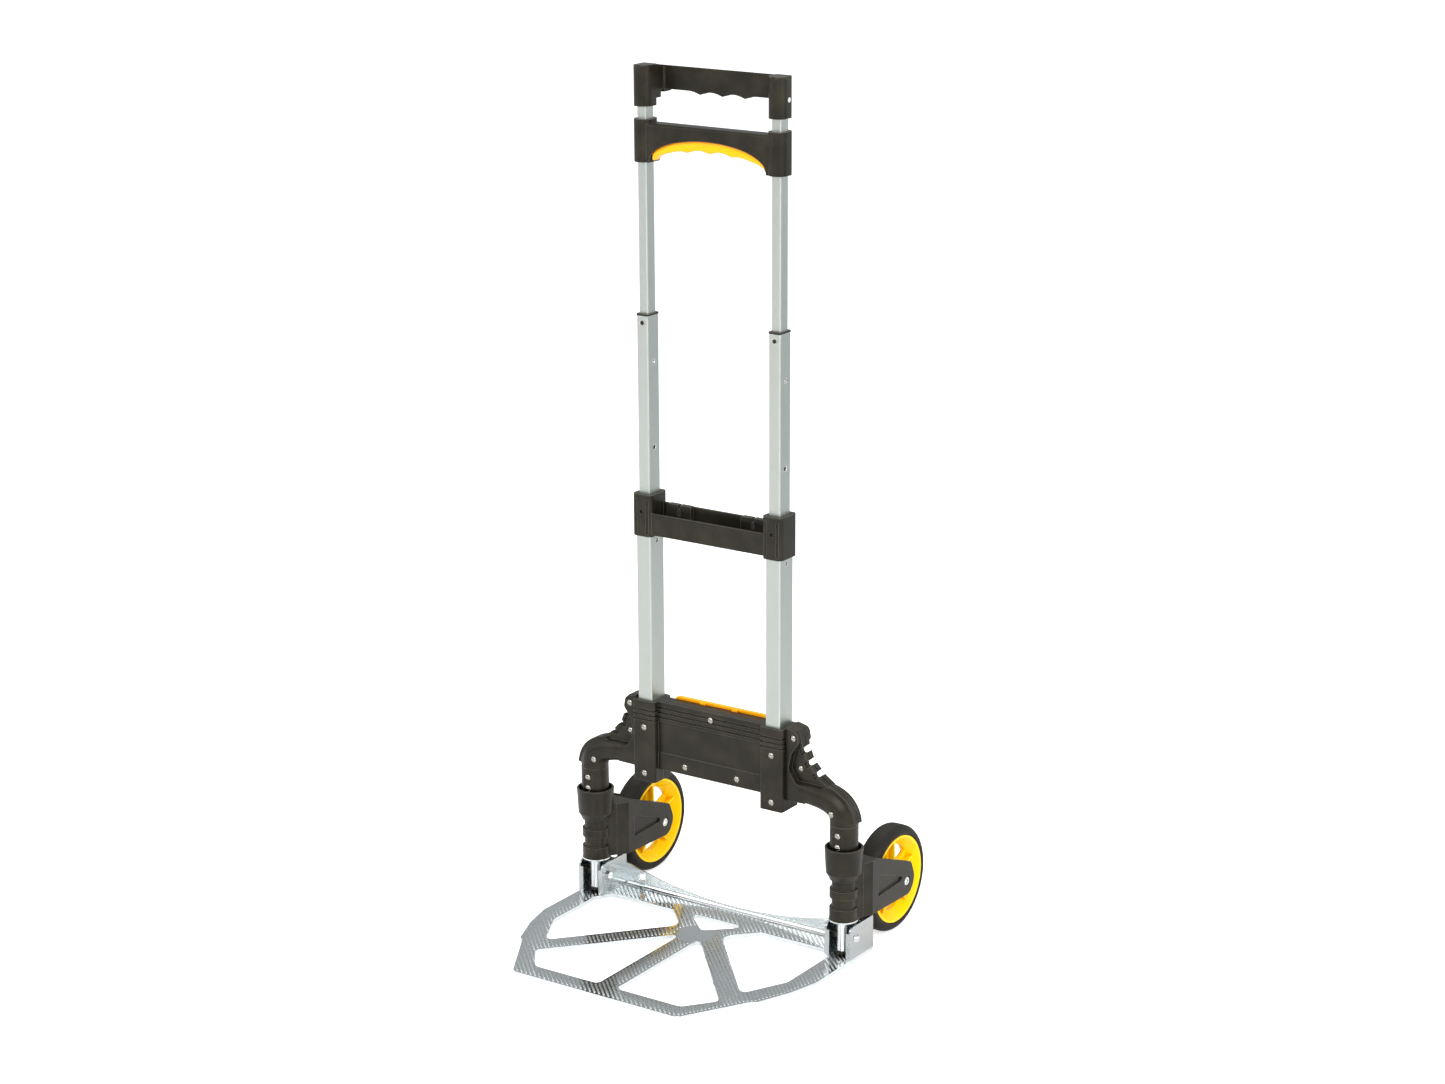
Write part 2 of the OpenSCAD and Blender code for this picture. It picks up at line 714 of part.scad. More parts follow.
// the shell in front of the seam; the rear one is its mirror image in the seam
module arm_shell(seats)
  difference() {
    union() {
      arm_sweep(0, 0);
      difference() {
        union() {
          across(seam_y - arm_web_t, seam_y)
            polygon(rounded(web_corners));
          difference() {
            across(seam_y - flange_d, seam_y)
              polygon(rounded(web_corners));
            across(seam_y - flange_d - 1, seam_y + 1)
              polygon(rounded(web_field));
          }
        }
        // groove along the flange, at the seam
        across(seam_y - groove_d, seam_y + 1)
          difference() {
            square(2 * web_top);
            polygon(rounded(inset(web_corners, groove_r)));
          }
      }
      across(seam_y - flare_d, seam_y)
        polygon(rounded(flare_corners));
      intersection() {
        tongue(0);
        translate([arm_x0 - 10, seam_y - 20, 0])
          cube([20, 20, web_top]);
      }
    }
    arm_sweep(arm_wall, 1);
    cord_slots();
    rod_z(neck_r + seat_gap, arm_end_z - 1, arm_end_z + neck_h + 0.5, leg_x, leg_y);
    for (p = arm_rivet_at) {
      if (seats)
        rivet_seat(p[0], p[1], p[2], clamp_d);
      rod_y(rivet_r + seat_gap, -clamp_d, clamp_d, p[0], p[2]);
    }
  }

module arm_front_shell(side) color(black) place() on_side(side) arm_shell(true);

module arm_rear_shell(side)
  color(black) place() on_side(side)
    translate([0, 2 * seam_y, 0])
      mirror([0, 1, 0])
        arm_shell(false);

module arm_rivets()
  color(zinc) place()
    for (side = [-1, 1])
      on_side(side)
        for (p = arm_rivet_at)
          rivet(p[0], p[1], p[2], 2 * (seam_y - p[1]) - 1);

// ---- crossbar ----

crossbar_screw_drop = 20;
crossbar_screw_z = crossbar_top - crossbar_screw_drop;
sleeve_w = lower_rail_w + 2 * crossbar_wall;
sleeve_d = lower_rail_d + 2 * crossbar_wall;
channel_wall = 2.5;
channel_z = crossbar_z + 2.5;
front_wall_top = crossbar_top - 21;
rear_wall_top = crossbar_top - 12;
cleat_x = 50;
cleat_w = 33;
cleat_d = 7;
cleat_slot_w = 2.2;
keyhole_w = 3.6;
keyhole_h = 8;
crossbar_screw_head_r = 2.6;
flute_depth = 1.3;
sleeve_corner = 6;

module crossbar()
  color(black) place()
    difference() {
      union() {
        for (s = [-1, 1])
          translate([s * rail_x, 0, 0])
            upright(crossbar_z, crossbar_top)
              box2d(sleeve_w, sleeve_d, sleeve_corner);
        // channel between the sleeves
        translate([-rail_x, -channel_d / 2 - 2, channel_z])
          cube([2 * rail_x, channel_wall, front_wall_top - channel_z]);
        translate([-rail_x, -channel_d / 2 - 2, channel_z])
          cube([2 * rail_x, channel_d, channel_wall]);
        translate([-rail_x, channel_d / 2 - 2 - channel_wall, channel_z])
          cube([2 * rail_x, channel_wall, rear_wall_top - channel_z]);
        // cleats that carry the cord slots, against the rear wall
        for (s = [-1, 1])
          across(channel_d / 2 - 2 - cleat_d, channel_d / 2 - 2)
            polygon(rounded([
              [s * cleat_x - cleat_w / 2, channel_z, 0], [s * cleat_x + cleat_w / 2, channel_z, 0],
              [s * cleat_x + cleat_w / 2, rear_wall_top + 0.6, 2.5],
              [s * cleat_x - cleat_w / 2, rear_wall_top + 0.6, 2.5]
            ]));
      }
      for (s = [-1, 1])
        translate([s * rail_x, 0, 0]) {
          // seat for the lower rail, and the mouth that the middle rail passes through
          upright(crossbar_z - 1, lower_rail_top + seat_gap)
            box2d(lower_rail_w + 2 * seat_gap, lower_rail_d + 2 * seat_gap, rail_corner);
          upright(crossbar_z, crossbar_top + 1)
            box2d(middle_rail_w + 2 * slide_gap, middle_rail_d + 2 * slide_gap, rail_corner);
          // flutes up the sleeve's front
          for (k = [-1, 1])
            translate([k * sleeve_w / 3.4 - 1.6, -sleeve_d / 2 - 1, crossbar_z + 3])
              cube([3.2, 1 + flute_depth, crossbar_h - 9]);
        }
      // cord slots through the cleats, widened below into keyholes
      for (s = [-1, 1]) {
        across(channel_d / 2 - 3 - cleat_d, channel_d / 2)
          translate([s * cleat_x, rear_wall_top - keyhole_h]) {
            box2d(keyhole_w, keyhole_h, keyhole_w / 2 - 0.1);
            translate([-cleat_slot_w / 2, 0])
              square([cleat_slot_w, crossbar_h]);
          }
        rod_y(screw_r + seat_gap, -sleeve_d, 0, s * rail_x, crossbar_screw_z);
        rod_y(crossbar_screw_head_r + seat_gap, -sleeve_d, -sleeve_d / 2 + 1.9, s * rail_x, crossbar_screw_z);
      }
    }

module crossbar_screws()
  color(black) place()
    for (s = [-1, 1]) {
      rod_y(crossbar_screw_head_r, -sleeve_d / 2 + 0.6, -sleeve_d / 2 + 1.9, s * rail_x, crossbar_screw_z);
      rod_y(screw_r, -sleeve_d / 2 + 1.9 - eps, -lower_rail_d / 2 + rail_wall - 0.1, s * rail_x, crossbar_screw_z);
    }

// ---- legs ----

flat_half_w = 6.6;
spigot_rivet_z = [spigot_z + 28.7, arm_end_z - 10.5];

module leg_spigot(side)
  color(black) place() on_side(side)
    difference() {
      union() {
        rod_z(spigot_r, spigot_z, arm_end_z, leg_x, leg_y);
        rod_z(neck_r, arm_end_z - eps, arm_end_z + neck_h, leg_x, leg_y);
      }
      rod_z(leg_r + seat_gap, spigot_z - 1, arm_end_z + neck_h + 1, leg_x, leg_y);
      // flat sunk in the front for the rivets
      translate([leg_x - flat_half_w, leg_y - spigot_r - 1, cup_top_z - 6])
        cube([2 * flat_half_w, 1 + spigot_r - sqrt(pow(spigot_r, 2) - pow(flat_half_w, 2)), arm_end_z - cup_top_z - 1]);
      for (z = spigot_rivet_z)
        rod_y(rivet_r + seat_gap, leg_y - spigot_r - 1, leg_y + spigot_r + 1, leg_x, z);
    }

module leg_tube(side)
  color(zinc) place() on_side(side)
    difference() {
      rod_z(leg_r, leg_tube_z, arm_end_z + neck_h - 2, leg_x, leg_y);
      rod_z(leg_r - 1.5, leg_tube_z - 1, arm_end_z + neck_h, leg_x, leg_y);
      rod_x(hinge_pin_r + run_gap, leg_x - 2 * leg_r, leg_x + 2 * leg_r, leg_y, hinge_z);
      for (z = spigot_rivet_z)
        rod_y(rivet_r + seat_gap, leg_y - spigot_r - 1, leg_y + spigot_r + 1, leg_x, z);
    }

module leg_washers()
  color(zinc) place()
    for (side = [-1, 1])
      on_side(side)
        difference() {
          rod_z(spigot_r + 0.6, sleeve_z - slide_gap - washer_t, sleeve_z - slide_gap, leg_x, leg_y);
          rod_z(leg_r + seat_gap, sleeve_z - 5, sleeve_z + 1, leg_x, leg_y);
        }

// a moulded plug that closes the foot of the leg tube
module leg_foot(side)
  color(black) place() on_side(side) {
    rod_z(leg_r + 0.4, leg_tube_z - foot_h, leg_tube_z, leg_x, leg_y);
    rod_z(leg_r - 1.5 - seat_gap, leg_tube_z - eps, leg_tube_z + 8, leg_x, leg_y);
  }

module spigot_rivets()
  color(zinc) place()
    for (side = [-1, 1])
      on_side(side)
        for (z = spigot_rivet_z)
          rivet(leg_x, leg_y - sqrt(pow(spigot_r, 2) - pow(flat_half_w, 2)), z, 2 * spigot_r - 6);

// ---- handles ----

cap_screw_z = top_cap_z + 20;
sleeve_screw_z = lower_sleeve_z + 14;
screw_head_r = 2.8;
screw_head_h = 1.2;
screw_rise = 0.7;
grip_y = 20.5;
grip_d = 15;
grip_top = truck_h - 5;
cusp_z = truck_h - 32;
cusp_h = 3.4;
cap_round = 4;

// the underside of the grip, level at both ends, with arches of one finger each between three cusps
finger_arches = [for (i = [-12:12]) let (u = i / 8) [u * finger_pitch, cusp_z + cusp_h * abs(sin(180 * u))]];

module cap_plan(w, d)
  for (s = [-1, 1])
    translate([s * rail_x, 0])
      stadium2d(w, d);

// the bow from cap to cap in plan, set back behind them for the hand
bow_side = [
  [rail_x + 9, 0, 0], [rail_x + 9, 7, 3], [rail_x - 8, grip_y + grip_d, 8]
];
bow_corners = concat(
  [[rail_x - cap_w / 2, 0, 0]], bow_side, mirrored(bow_side),
  [[-rail_x + cap_w / 2, 0, 0], [-rail_x + cap_w / 2, grip_y, 3], [rail_x - cap_w / 2, grip_y, 3]]
);

// the top handle seen from its side: the caps in front, swept back and down into the grip
handle_profile = [
  [-cap_d, top_cap_z, 0],
  [cap_d / 2 + 1, top_cap_z, 0],
  [cap_d / 2 + 1, cusp_z + cusp_h, 5],
  [grip_y, cusp_z + cusp_h, 0],
  [grip_y, cusp_z, 0],
  [grip_y + grip_d, cusp_z, 3],
  [grip_y + grip_d, grip_top, cap_round],
  [cap_d / 2 - 2, truck_h - 1, 9],
  [cap_d / 2 - 5, truck_h, 0],
  [-cap_d, truck_h, 0]
];

module top_handle()
  color(black) place()
    difference() {
      intersection() {
        union() {
          intersection() {
            upright(top_cap_z, truck_h)
              cap_plan(cap_w, cap_d);
            // rounding of the caps' outer edges
            across(-cap_d, cap_d)
              polygon(rounded([
                [-rail_x - cap_w / 2, top_cap_z, 1], [rail_x + cap_w / 2, top_cap_z, 1],
                [rail_x + cap_w / 2, truck_h, cap_round], [-rail_x - cap_w / 2, truck_h, cap_round]
              ]));
          }
          upright(top_cap_z + 8, truck_h - 0.6)
            polygon(rounded(bow_corners));
        }
        along_x(-rail_x - cap_w, rail_x + cap_w)
          polygon(rounded(handle_profile));
        along_x(-rail_x - cap_w, rail_x + cap_w)
          polygon(rounded([
            [-cap_d / 2, top_cap_z - 1, 0], [2 * cap_d, top_cap_z - 1, 0],
            [2 * cap_d, truck_h, 0], [-cap_d / 2, truck_h, cap_round]
          ]));
      }
      // finger arches under the grip
      across(grip_y - 1, grip_y + grip_d + 1)
        polygon(concat(
          [[-rail_x + cap_w / 2, cusp_z + cusp_h], [-rail_x + cap_w / 2, top_cap_z], [rail_x - cap_w / 2, top_cap_z],
            [rail_x - cap_w / 2, cusp_z + cusp_h]],
          [for (i = [len(finger_arches) - 1:-1:0]) finger_arches[i]]
        ));
      for (s = [-1, 1]) {
        translate([s * rail_x, 0, 0])
          upright(top_cap_z - 1, upper_rail_top + seat_gap)
            box2d(upper_rail_w + 2 * seat_gap, upper_rail_d + 2 * seat_gap, rail_corner);
        on_side(s) {
          rod_x(screw_r + seat_gap, rail_x, rail_x + cap_w, 0, cap_screw_z);
          rod_x(screw_head_r + seat_gap, rail_x + cap_w / 2 - screw_head_h + screw_rise, rail_x + cap_w, 0, cap_screw_z);
        }
      }
    }

// the arch under the lower handle, as a half ellipse
arch_top = lower_sleeve_top - 18;
bar_top = lower_sleeve_top - 4;
arch_w = rail_spacing - cap_w - 1;
arch_h = 27;
bar_d = 21;
trigger_w = 16;
trigger_t = 8;
tab_w = 6;
tab_h = 6;
tab_z = lower_sleeve_z + 12;

function arch(z, w, h, n) =
  [for (i = [0:n]) let (a = 180 - 180 * i / n) [w / 2 * cos(a), z - h + h * sin(a)]];

module lower_handle()
  color(black) place()
    difference() {
      union() {
        upright(lower_sleeve_z, lower_sleeve_top)
          cap_plan(cap_w, cap_d + 1);
        intersection() {
          across(-cap_d, cap_d)
            difference() {
              polygon([
                [-rail_x, lower_sleeve_z], [rail_x, lower_sleeve_z],
                [rail_x, bar_top], [-rail_x, bar_top]
              ]);
              polygon(concat(
                arch(arch_top, arch_w, arch_h, 32),
                [[arch_w / 2, lower_sleeve_z - 1], [-arch_w / 2, lower_sleeve_z - 1]]
              ));
            }
          along_x(-rail_x, rail_x)
            polygon(rounded([
              [-bar_d / 2, lower_sleeve_z - 1, 0], [bar_d / 2, lower_sleeve_z - 1, 0],
              [bar_d / 2, bar_top, 3], [-bar_d / 2, bar_top, 3]
            ]));
        }
      }
      // well that the trigger rises into
      translate([-arch_w / 2 + 1, -trigger_w / 2 - slide_gap, lower_sleeve_z - 1])
        cube([arch_w - 2, trigger_w + 2 * slide_gap, arch_top + trigger_t + trigger_travel + slide_gap - lower_sleeve_z]);
      for (s = [-1, 1]) {
        translate([s * rail_x, 0, 0])
          upright(lower_sleeve_z - 1, lower_sleeve_top + 1)
            box2d(upper_rail_w + 2 * seat_gap, upper_rail_d + 2 * seat_gap, rail_corner);
        // slots for the trigger's tabs
        on_side(s)
          along_x(arch_w / 2 - 2, rail_x)
            translate([-tab_w / 2 - slide_gap, tab_z - slide_gap])
              square([tab_w + 2 * slide_gap, tab_h + trigger_travel + 2 * slide_gap]);
        rod_y(screw_r + seat_gap, 0, cap_d, s * rail_x, sleeve_screw_z);
        rod_y(screw_head_r + seat_gap, cap_d / 2 + 0.5 - screw_head_h + screw_rise, cap_d, s * rail_x, sleeve_screw_z);
      }
    }

// self-tapping screws into the rails: through the outer side of each cap, and the back of each lower sleeve
module handle_screws()
  color(zinc) place()
    for (s = [-1, 1])
      on_side(s) {
        cap_x = rail_x + cap_w / 2 + screw_rise;
        sleeve_y = cap_d / 2 + 0.5 + screw_rise;
        rod_x(screw_head_r, cap_x - screw_head_h, cap_x, 0, cap_screw_z);
        rod_x(screw_r, rail_x + upper_rail_w / 2 - 2, cap_x - screw_head_h + eps, 0, cap_screw_z);
        rod_y(screw_head_r, sleeve_y - screw_head_h, sleeve_y, rail_x, sleeve_screw_z);
        rod_y(screw_r, upper_rail_d / 2 - 2, sleeve_y - screw_head_h + eps, rail_x, sleeve_screw_z);
      }

// the trigger's underside at u from -1 to 1 across it: an ellipse with a cusp between each two fingers
function trigger_under(u) =
  let (x = u * (arch_w / 2 - 3), cusp = max(0, 1 - abs(x) / (1.9 * finger_pitch)))
  [x, arch_top - 8 - (arch_h - 7) * (1 - sqrt(1 - u * u))
    + min(1, 2 * cusp) * 2.6 * (abs(sin(180 * x / finger_pitch)) - 0.6)];

// the squeeze bar in the arch: scalloped below, with a tab at each end that reaches into the rail
module release_trigger()
  color(yellow) place() {
    across(-trigger_w / 2, trigger_w / 2)
      difference() {
        polygon(concat(
          arch(arch_top + trigger_t - 1, arch_w - 4, arch_h + trigger_t - 3, 32),
          [[arch_w / 2 - 4, lower_sleeve_z + 5], [-arch_w / 2 + 4, lower_sleeve_z + 5]]
        ));
        polygon(concat(
          [for (i = [0:48]) trigger_under(-1 + i / 24)],
          [[arch_w / 2 - 3, lower_sleeve_z], [-arch_w / 2 + 3, lower_sleeve_z]]
        ));
      }
    for (s = [-1, 1])
      on_side(s)
        difference() {
          translate([arch_w / 2 - 6, -tab_w / 2, tab_z])
            cube([rail_x - arch_w / 2 + 6 + rod_r + 1, tab_w, tab_h]);
          rod_z(rod_r + seat_gap, tab_z - 1, tab_z + tab_h + 1, rail_x, 0);
        }
  }

// pull rods from the trigger's tabs down to the upper lock blocks
module release_rods()
  color(zinc) place()
    for (s = [-1, 1])
      rod_z(rod_r, upper_rail_z + block_h - 8 + 0.5, tab_z + tab_h + 3, s * rail_x, 0);

// ---- toe plate ----

plate_half = plate_w / 2;

// the right half of the plate's outline, from the front edge round to the back, anticlockwise
corner_cut = 78;
notch_x = 33;
notch_y = 77;
taper_x = 10;
taper_y = 122;
side_y = 162;
plate_right = [
  [plate_half - corner_cut, plate_y0, 14],
  [plate_half - notch_x, plate_y0 + notch_y, 2],
  [plate_half - notch_x + 6, plate_y0 + notch_y + 4, 4],
  [plate_half - taper_x, plate_y0 + taper_y, 18],
  [plate_half, plate_y0 + side_y, 22],
  [plate_half, plate_back_y, 3]
];
plate_corners = concat(plate_right, mirrored(plate_right));

// the spokes run from the hub near the back to the front corners; a spoke's two edges have the same slope
spoke_half = 12.5;
spoke_end_x = 63;
spoke_end_y = 61;
spoke_in_y = 2;
spoke_out_y = -37;
spoke_slope = (plate_y0 + spoke_end_y - spoke_out_y) / (plate_half - spoke_end_x);

// cut-out beside the rear edge, cut-out beside the middle spoke, and the small one over the hub
function on_spoke(x, y0) = y0 + spoke_slope * x;

front_border = plate_border - 1.5;
side_border = plate_border + 0.5;
side_cut = [
  [29, on_spoke(29, spoke_in_y), 15],
  [plate_half - spoke_end_x + 8, on_spoke(plate_half - spoke_end_x + 8, spoke_in_y), 7],
  [plate_half - side_border, plate_y0 + side_y - 17, 14],
  [plate_half - side_border, leg_y - 19, 7],
  [plate_half - side_border - 11.5, leg_y, 6],
  [62, leg_y, 6]
];
front_cut = [
  [spoke_half, plate_y0 + front_border, 6],
  [plate_half - spoke_end_x - 28, plate_y0 + front_border, 10],
  [plate_half - spoke_end_x, on_spoke(plate_half - spoke_end_x, spoke_out_y), 8],
  [spoke_half, on_spoke(spoke_half, spoke_out_y), 5]
];
hub_cut = [[0, leg_y - 33, 5], [40, leg_y + 2.5, 5], [-40, leg_y + 2.5, 5]];
plate_cuts = [side_cut, mirrored(side_cut), front_cut, mirrored(front_cut), hub_cut];

// height of the rear flange at x: a shallow arc, level at both ends
flange_arc_x = plate_half - 30;
function flange_z(x) =
  let (rise = flange_end_z - flange_mid_z, r = (pow(flange_arc_x, 2) + pow(rise, 2)) / (2 * rise))
  flange_mid_z + r - sqrt(pow(r, 2) - pow(min(abs(x), flange_arc_x), 2));

module toe_plate()
  color(zinc) place()
    difference() {
      union() {
        difference() {
          upright(0, plate_top)
            polygon(rounded(plate_corners));
          for (c = plate_cuts)
            upright(-1, plate_top + 1)
              polygon(rounded(c));
          // hollow underneath: what is left is the sheet and its turned-down lips
          upright(-1, plate_top - sheet_t)
            difference() {
              polygon(rounded(inset(plate_corners, sheet_t)));
              for (c = plate_cuts)
                polygon(rounded(inset(c, -sheet_t)));
            }
        }
        // the flange along the rear edge
        across(plate_back_y - sheet_t, plate_back_y)
          polygon(concat(
            [[-plate_half + 3, 0.5], [plate_half - 3, 0.5], [plate_half, 3.5]],
            [for (i = [0:32]) let (x = (plate_half - 4) * (1 - i / 16)) [x, flange_z(x)]],
            [[-plate_half, 3.5]]
          ));
      }
      // holes for elastic cord hooks
      for (s = [-1, 1])
        rod_y(cord_hole_r, plate_back_y - 2 * sheet_t, plate_back_y + 1, s * cord_hole_x, cord_hole_z);
    }

// two ears joined across the back, their front edges turned in towards the leg
module hinge_bracket(side)
  color(zinc) place() on_side(side)
    difference() {
      union() {
        for (k = [-1, 1]) {
          x0 = leg_x + (k > 0 ? bracket_half_w - bracket_t : -bracket_half_w);
          along_x(x0, x0 + bracket_t)
            polygon(rounded([
              [bracket_y0, plate_top, 0], [plate_back_y - sheet_t, plate_top, 0],
              [plate_back_y - sheet_t, bracket_top, 2], [bracket_y0, bracket_top, 8]
            ]));
          along_x(k > 0 ? x0 - lip_w + bracket_t : x0, k > 0 ? x0 + bracket_t : x0 + lip_w)
            polygon([
              [bracket_y0, plate_top], [bracket_y0 + bracket_t, plate_top],
              [bracket_y0 + bracket_t, bracket_top - 8], [bracket_y0, bracket_top - 8]
            ]);
        }
        translate([leg_x - bracket_half_w, plate_back_y - sheet_t - bracket_t, plate_top])
          cube([2 * bracket_half_w, bracket_t, bracket_top - 14 - plate_top]);
      }
      rod_x(hinge_pin_r + seat_gap, leg_x - 2 * bracket_half_w, leg_x + 2 * bracket_half_w, leg_y, hinge_z);
    }

module hinge_pin(side)
  color(zinc) place() on_side(side) {
    rod_x(hinge_pin_r, leg_x - bracket_half_w - 2.2, leg_x + bracket_half_w + eps, leg_y, hinge_z);
    // domed head outboard, nut inboard
    translate([leg_x + bracket_half_w + eps, leg_y, hinge_z])
      rotate([0, 90, 0])
        cylinder(r1 = 5, r2 = 3.6, h = 2.4);
    difference() {
      translate([leg_x - bracket_half_w - 3, leg_y, hinge_z])
        rotate([0, 90, 0])
          cylinder(r = 5.2, h = 3 - eps, $fn = 6);
      rod_x(hinge_pin_r, leg_x - bracket_half_w - 2.2, leg_x - bracket_half_w + 1, leg_y, hinge_z);
    }
  }

module hinge_spacers()
  color(black) place()
    for (side = [-1, 1])
      on_side(side)
        for (k = [-1, 1])
          difference() {
            rod_x(5.2, leg_x + (k > 0 ? leg_r + slide_gap : -bracket_half_w + bracket_t + seat_gap),
              leg_x + (k > 0 ? bracket_half_w - bracket_t - seat_gap : -leg_r - slide_gap), leg_y, hinge_z);
            rod_x(hinge_pin_r + seat_gap, leg_x - bracket_half_w, leg_x + bracket_half_w, leg_y, hinge_z);
          }

// ---- forks and wheels ----

recess_d = 2.4;
axle_head_r = 5;
axle_recess_d = 0.9;

fork_x0 = wheel_x - fork_w / 2;
fork_x1 = wheel_x + fork_w / 2;
ring_h = 8;

// section of the sleeve that turns on the leg: rings, neck, cup
module fork_sleeve()
  translate([leg_x, leg_y, 0])
    rotate_extrude()
      polygon([
        [leg_r + run_gap, sleeve_z], [spigot_r, sleeve_z], [spigot_r, sleeve_z + 14],
        [sleeve_r, sleeve_z + 14.4], [sleeve_r, sleeve_z + 26], [spigot_r - 0.1, sleeve_z + 26.4],
        [spigot_r - 0.1, sleeve_z + 36.6], [sleeve_r, sleeve_z + 37], [sleeve_r, cup_floor_z - 13],
        [spigot_r + 0.3, cup_floor_z - 12.5], [spigot_r + 0.8, cup_floor_z - 10.5], [cup_r - 1.6, cup_floor_z - 4.5],
        [cup_r, cup_top_z - 0.8], [cup_r - 0.8, cup_top_z], [cup_r - cup_wall + 0.6, cup_top_z],
        [cup_r - cup_wall, cup_top_z - 1], [cup_r - cup_wall, cup_floor_z], [leg_r + run_gap, cup_floor_z]
      ]);

// the side of a fork arm, in Y and Z: upright at the block, running down to a round end at the axle
fork_side = [
  [leg_y + 14, fork_z, 0],
  [axle_y + 7, fork_z - 3, fork_end_r - 4],
  [axle_y + fork_end_r, axle_z, fork_end_r - 1],
  [axle_y + 9, axle_z + fork_end_r + 4, 11],
  [block_y + 8, fork_top_z, 4],
  [leg_y + 14, fork_top_z, 0]
];
fork_recess = [
  [block_y + 9.5, fork_z + 17, 2],
  [axle_y - 11, axle_z + 5.5, 2],
  [axle_y - 12, axle_z + 10, 3],
  [block_y + 9.5, fork_z + 44, 2]
];

module fork(side)
  color(black) place() on_side(side)
    difference() {
      union() {
        fork_sleeve();
        intersection() {
          along_x(fork_x0, fork_x1)
            polygon(rounded(fork_side));
          upright(fork_z - 10, fork_top_z + 1)
            polygon(rounded([
              [leg_x - sleeve_r, leg_y + 4, 0], [leg_x + sleeve_r, leg_y + 4, 0],
              [fork_x1, block_y - 3, 3], [fork_x1, axle_y + 40, 0],
              [fork_x0, axle_y + 40, 0], [fork_x0, block_y - 3, 3]
            ]));
        }
      }
      // sleeve's bore, and the cup's hollow where the block would fill it
      rod_z(leg_r + run_gap, sleeve_z - 1, cup_floor_z + 1, leg_x, leg_y);
      rod_z(cup_r - cup_wall, cup_floor_z, cup_top_z + 1, leg_x, leg_y);
      // gap between the arms for the wheel, with a boss inside each at the axle
      difference() {
        translate([fork_x0 + fork_t, block_back_y, fork_z - 20])
          cube([fork_w - 2 * fork_t, 2 * wheel_r, fork_top_z]);
        for (x = [fork_x0, wheel_x + hub_w / 2 + slide_gap])
          rod_x(9, x, x + fork_w / 2 - hub_w / 2 - slide_gap, axle_y, axle_z);
      }
      for (x = [fork_x0 - 1, fork_x1 - recess_d])
        along_x(x, x + 1 + recess_d)
          polygon(rounded(fork_recess));
      for (x = [fork_x0 - 1, fork_x1 - axle_recess_d])
        rod_x(axle_head_r + 1.6, x, x + 1 + axle_recess_d, axle_y, axle_z);
      rod_x(axle_r + seat_gap, fork_x0 - 1, fork_x1 + 1, axle_y, axle_z);
    }

module axle(side)
  color(zinc) place() on_side(side) {
    rod_x(axle_r, fork_x0 + axle_recess_d - eps, fork_x1 - axle_recess_d + eps, axle_y, axle_z);
    for (x = [fork_x0, fork_x1 - axle_recess_d + eps])
      rod_x(axle_head_r, x, x + axle_recess_d - eps, axle_y, axle_z);
  }

module about_axle() translate([wheel_x, axle_y, axle_z]) rotate([0, 90, 0]) children();

module tyre(side)
  color(black) place() on_side(side) about_axle()
    rotate_extrude($fn = 96)
      polygon(rounded([
        [rim_r + seat_gap, -tyre_w / 2 + 1.2, 0.6], [rim_r + 3, -tyre_w / 2, 2],
        [wheel_r - 0.2, -tyre_w / 2 + 0.8, 8.5], [wheel_r, 0, 60],
        [wheel_r - 0.2, tyre_w / 2 - 0.8, 8.5], [rim_r + 3, tyre_w / 2, 2],
        [rim_r + seat_gap, tyre_w / 2 - 1.2, 0.6]
      ]));

rim_band = 5;
web_t = 4;
spoke_w = 15;
spoke_rib_h = tyre_w / 2 - 5.2;

module rim(side)
  color(yellow) place() on_side(side) about_axle()
    difference() {
      union() {
        // band under the tyre, dished web, and hub
        rotate_extrude($fn = 96)
          polygon([
            [bush_r + seat_gap, -hub_w / 2], [hub_r, -hub_w / 2], [hub_r + 1.5, -hub_w / 2 + 6],
            [hub_r + 8, -web_t / 2], [rim_r - rim_band - 8, -web_t / 2], [rim_r - rim_band, -tyre_w / 2 + 3],
            [rim_r - 2.5, -tyre_w / 2 + 0.5], [rim_r, -tyre_w / 2 + 0.5],
            [rim_r, tyre_w / 2 - 0.5], [rim_r - 2.5, tyre_w / 2 - 0.5],
            [rim_r - rim_band, tyre_w / 2 - 3], [rim_r - rim_band - 8, web_t / 2], [hub_r + 8, web_t / 2],
            [hub_r + 1.5, hub_w / 2 - 6], [hub_r, hub_w / 2], [bush_r + seat_gap, hub_w / 2]
          ]);
        // a rib along the middle of each spoke
        for (i = [0:rim_spokes - 1])
          rotate(360 / rim_spokes * i + rim_turn)
            intersection() {
              translate([bush_r + 2, -1.5, -spoke_rib_h])
                cube([rim_r - bush_r - 4, 3, 2 * spoke_rib_h]);
              cylinder(r = rim_r - 3.3, h = tyre_w, center = true);
            }
      }
      // windows between the spokes
      for (i = [0:rim_spokes - 1])
        rotate(360 / rim_spokes * (i + 0.5) + rim_turn)
          translate([0, 0, -tyre_w])
            linear_extrude(2 * tyre_w)
              polygon(rounded(window_corners));
      translate([0, 0, -hub_w])
        cylinder(r = bush_r + seat_gap, h = 2 * hub_w);
    }

rim_turn = 38;
window_in_r = hub_r + 9;
window_out_r = rim_r - rim_band - 7;
window_corners =
  let (
    half = 180 / rim_spokes,
    a_in = half - asin(spoke_w / 2 / window_in_r),
    a_out = half - asin(spoke_w / 2 / window_out_r)
  )
  [
    [window_in_r * cos(a_in), -window_in_r * sin(a_in), 2],
    [window_out_r * cos(a_out), -window_out_r * sin(a_out), 4],
    [window_out_r * 1.04, 0, 30],
    [window_out_r * cos(a_out), window_out_r * sin(a_out), 4],
    [window_in_r * cos(a_in), window_in_r * sin(a_in), 2]
  ];

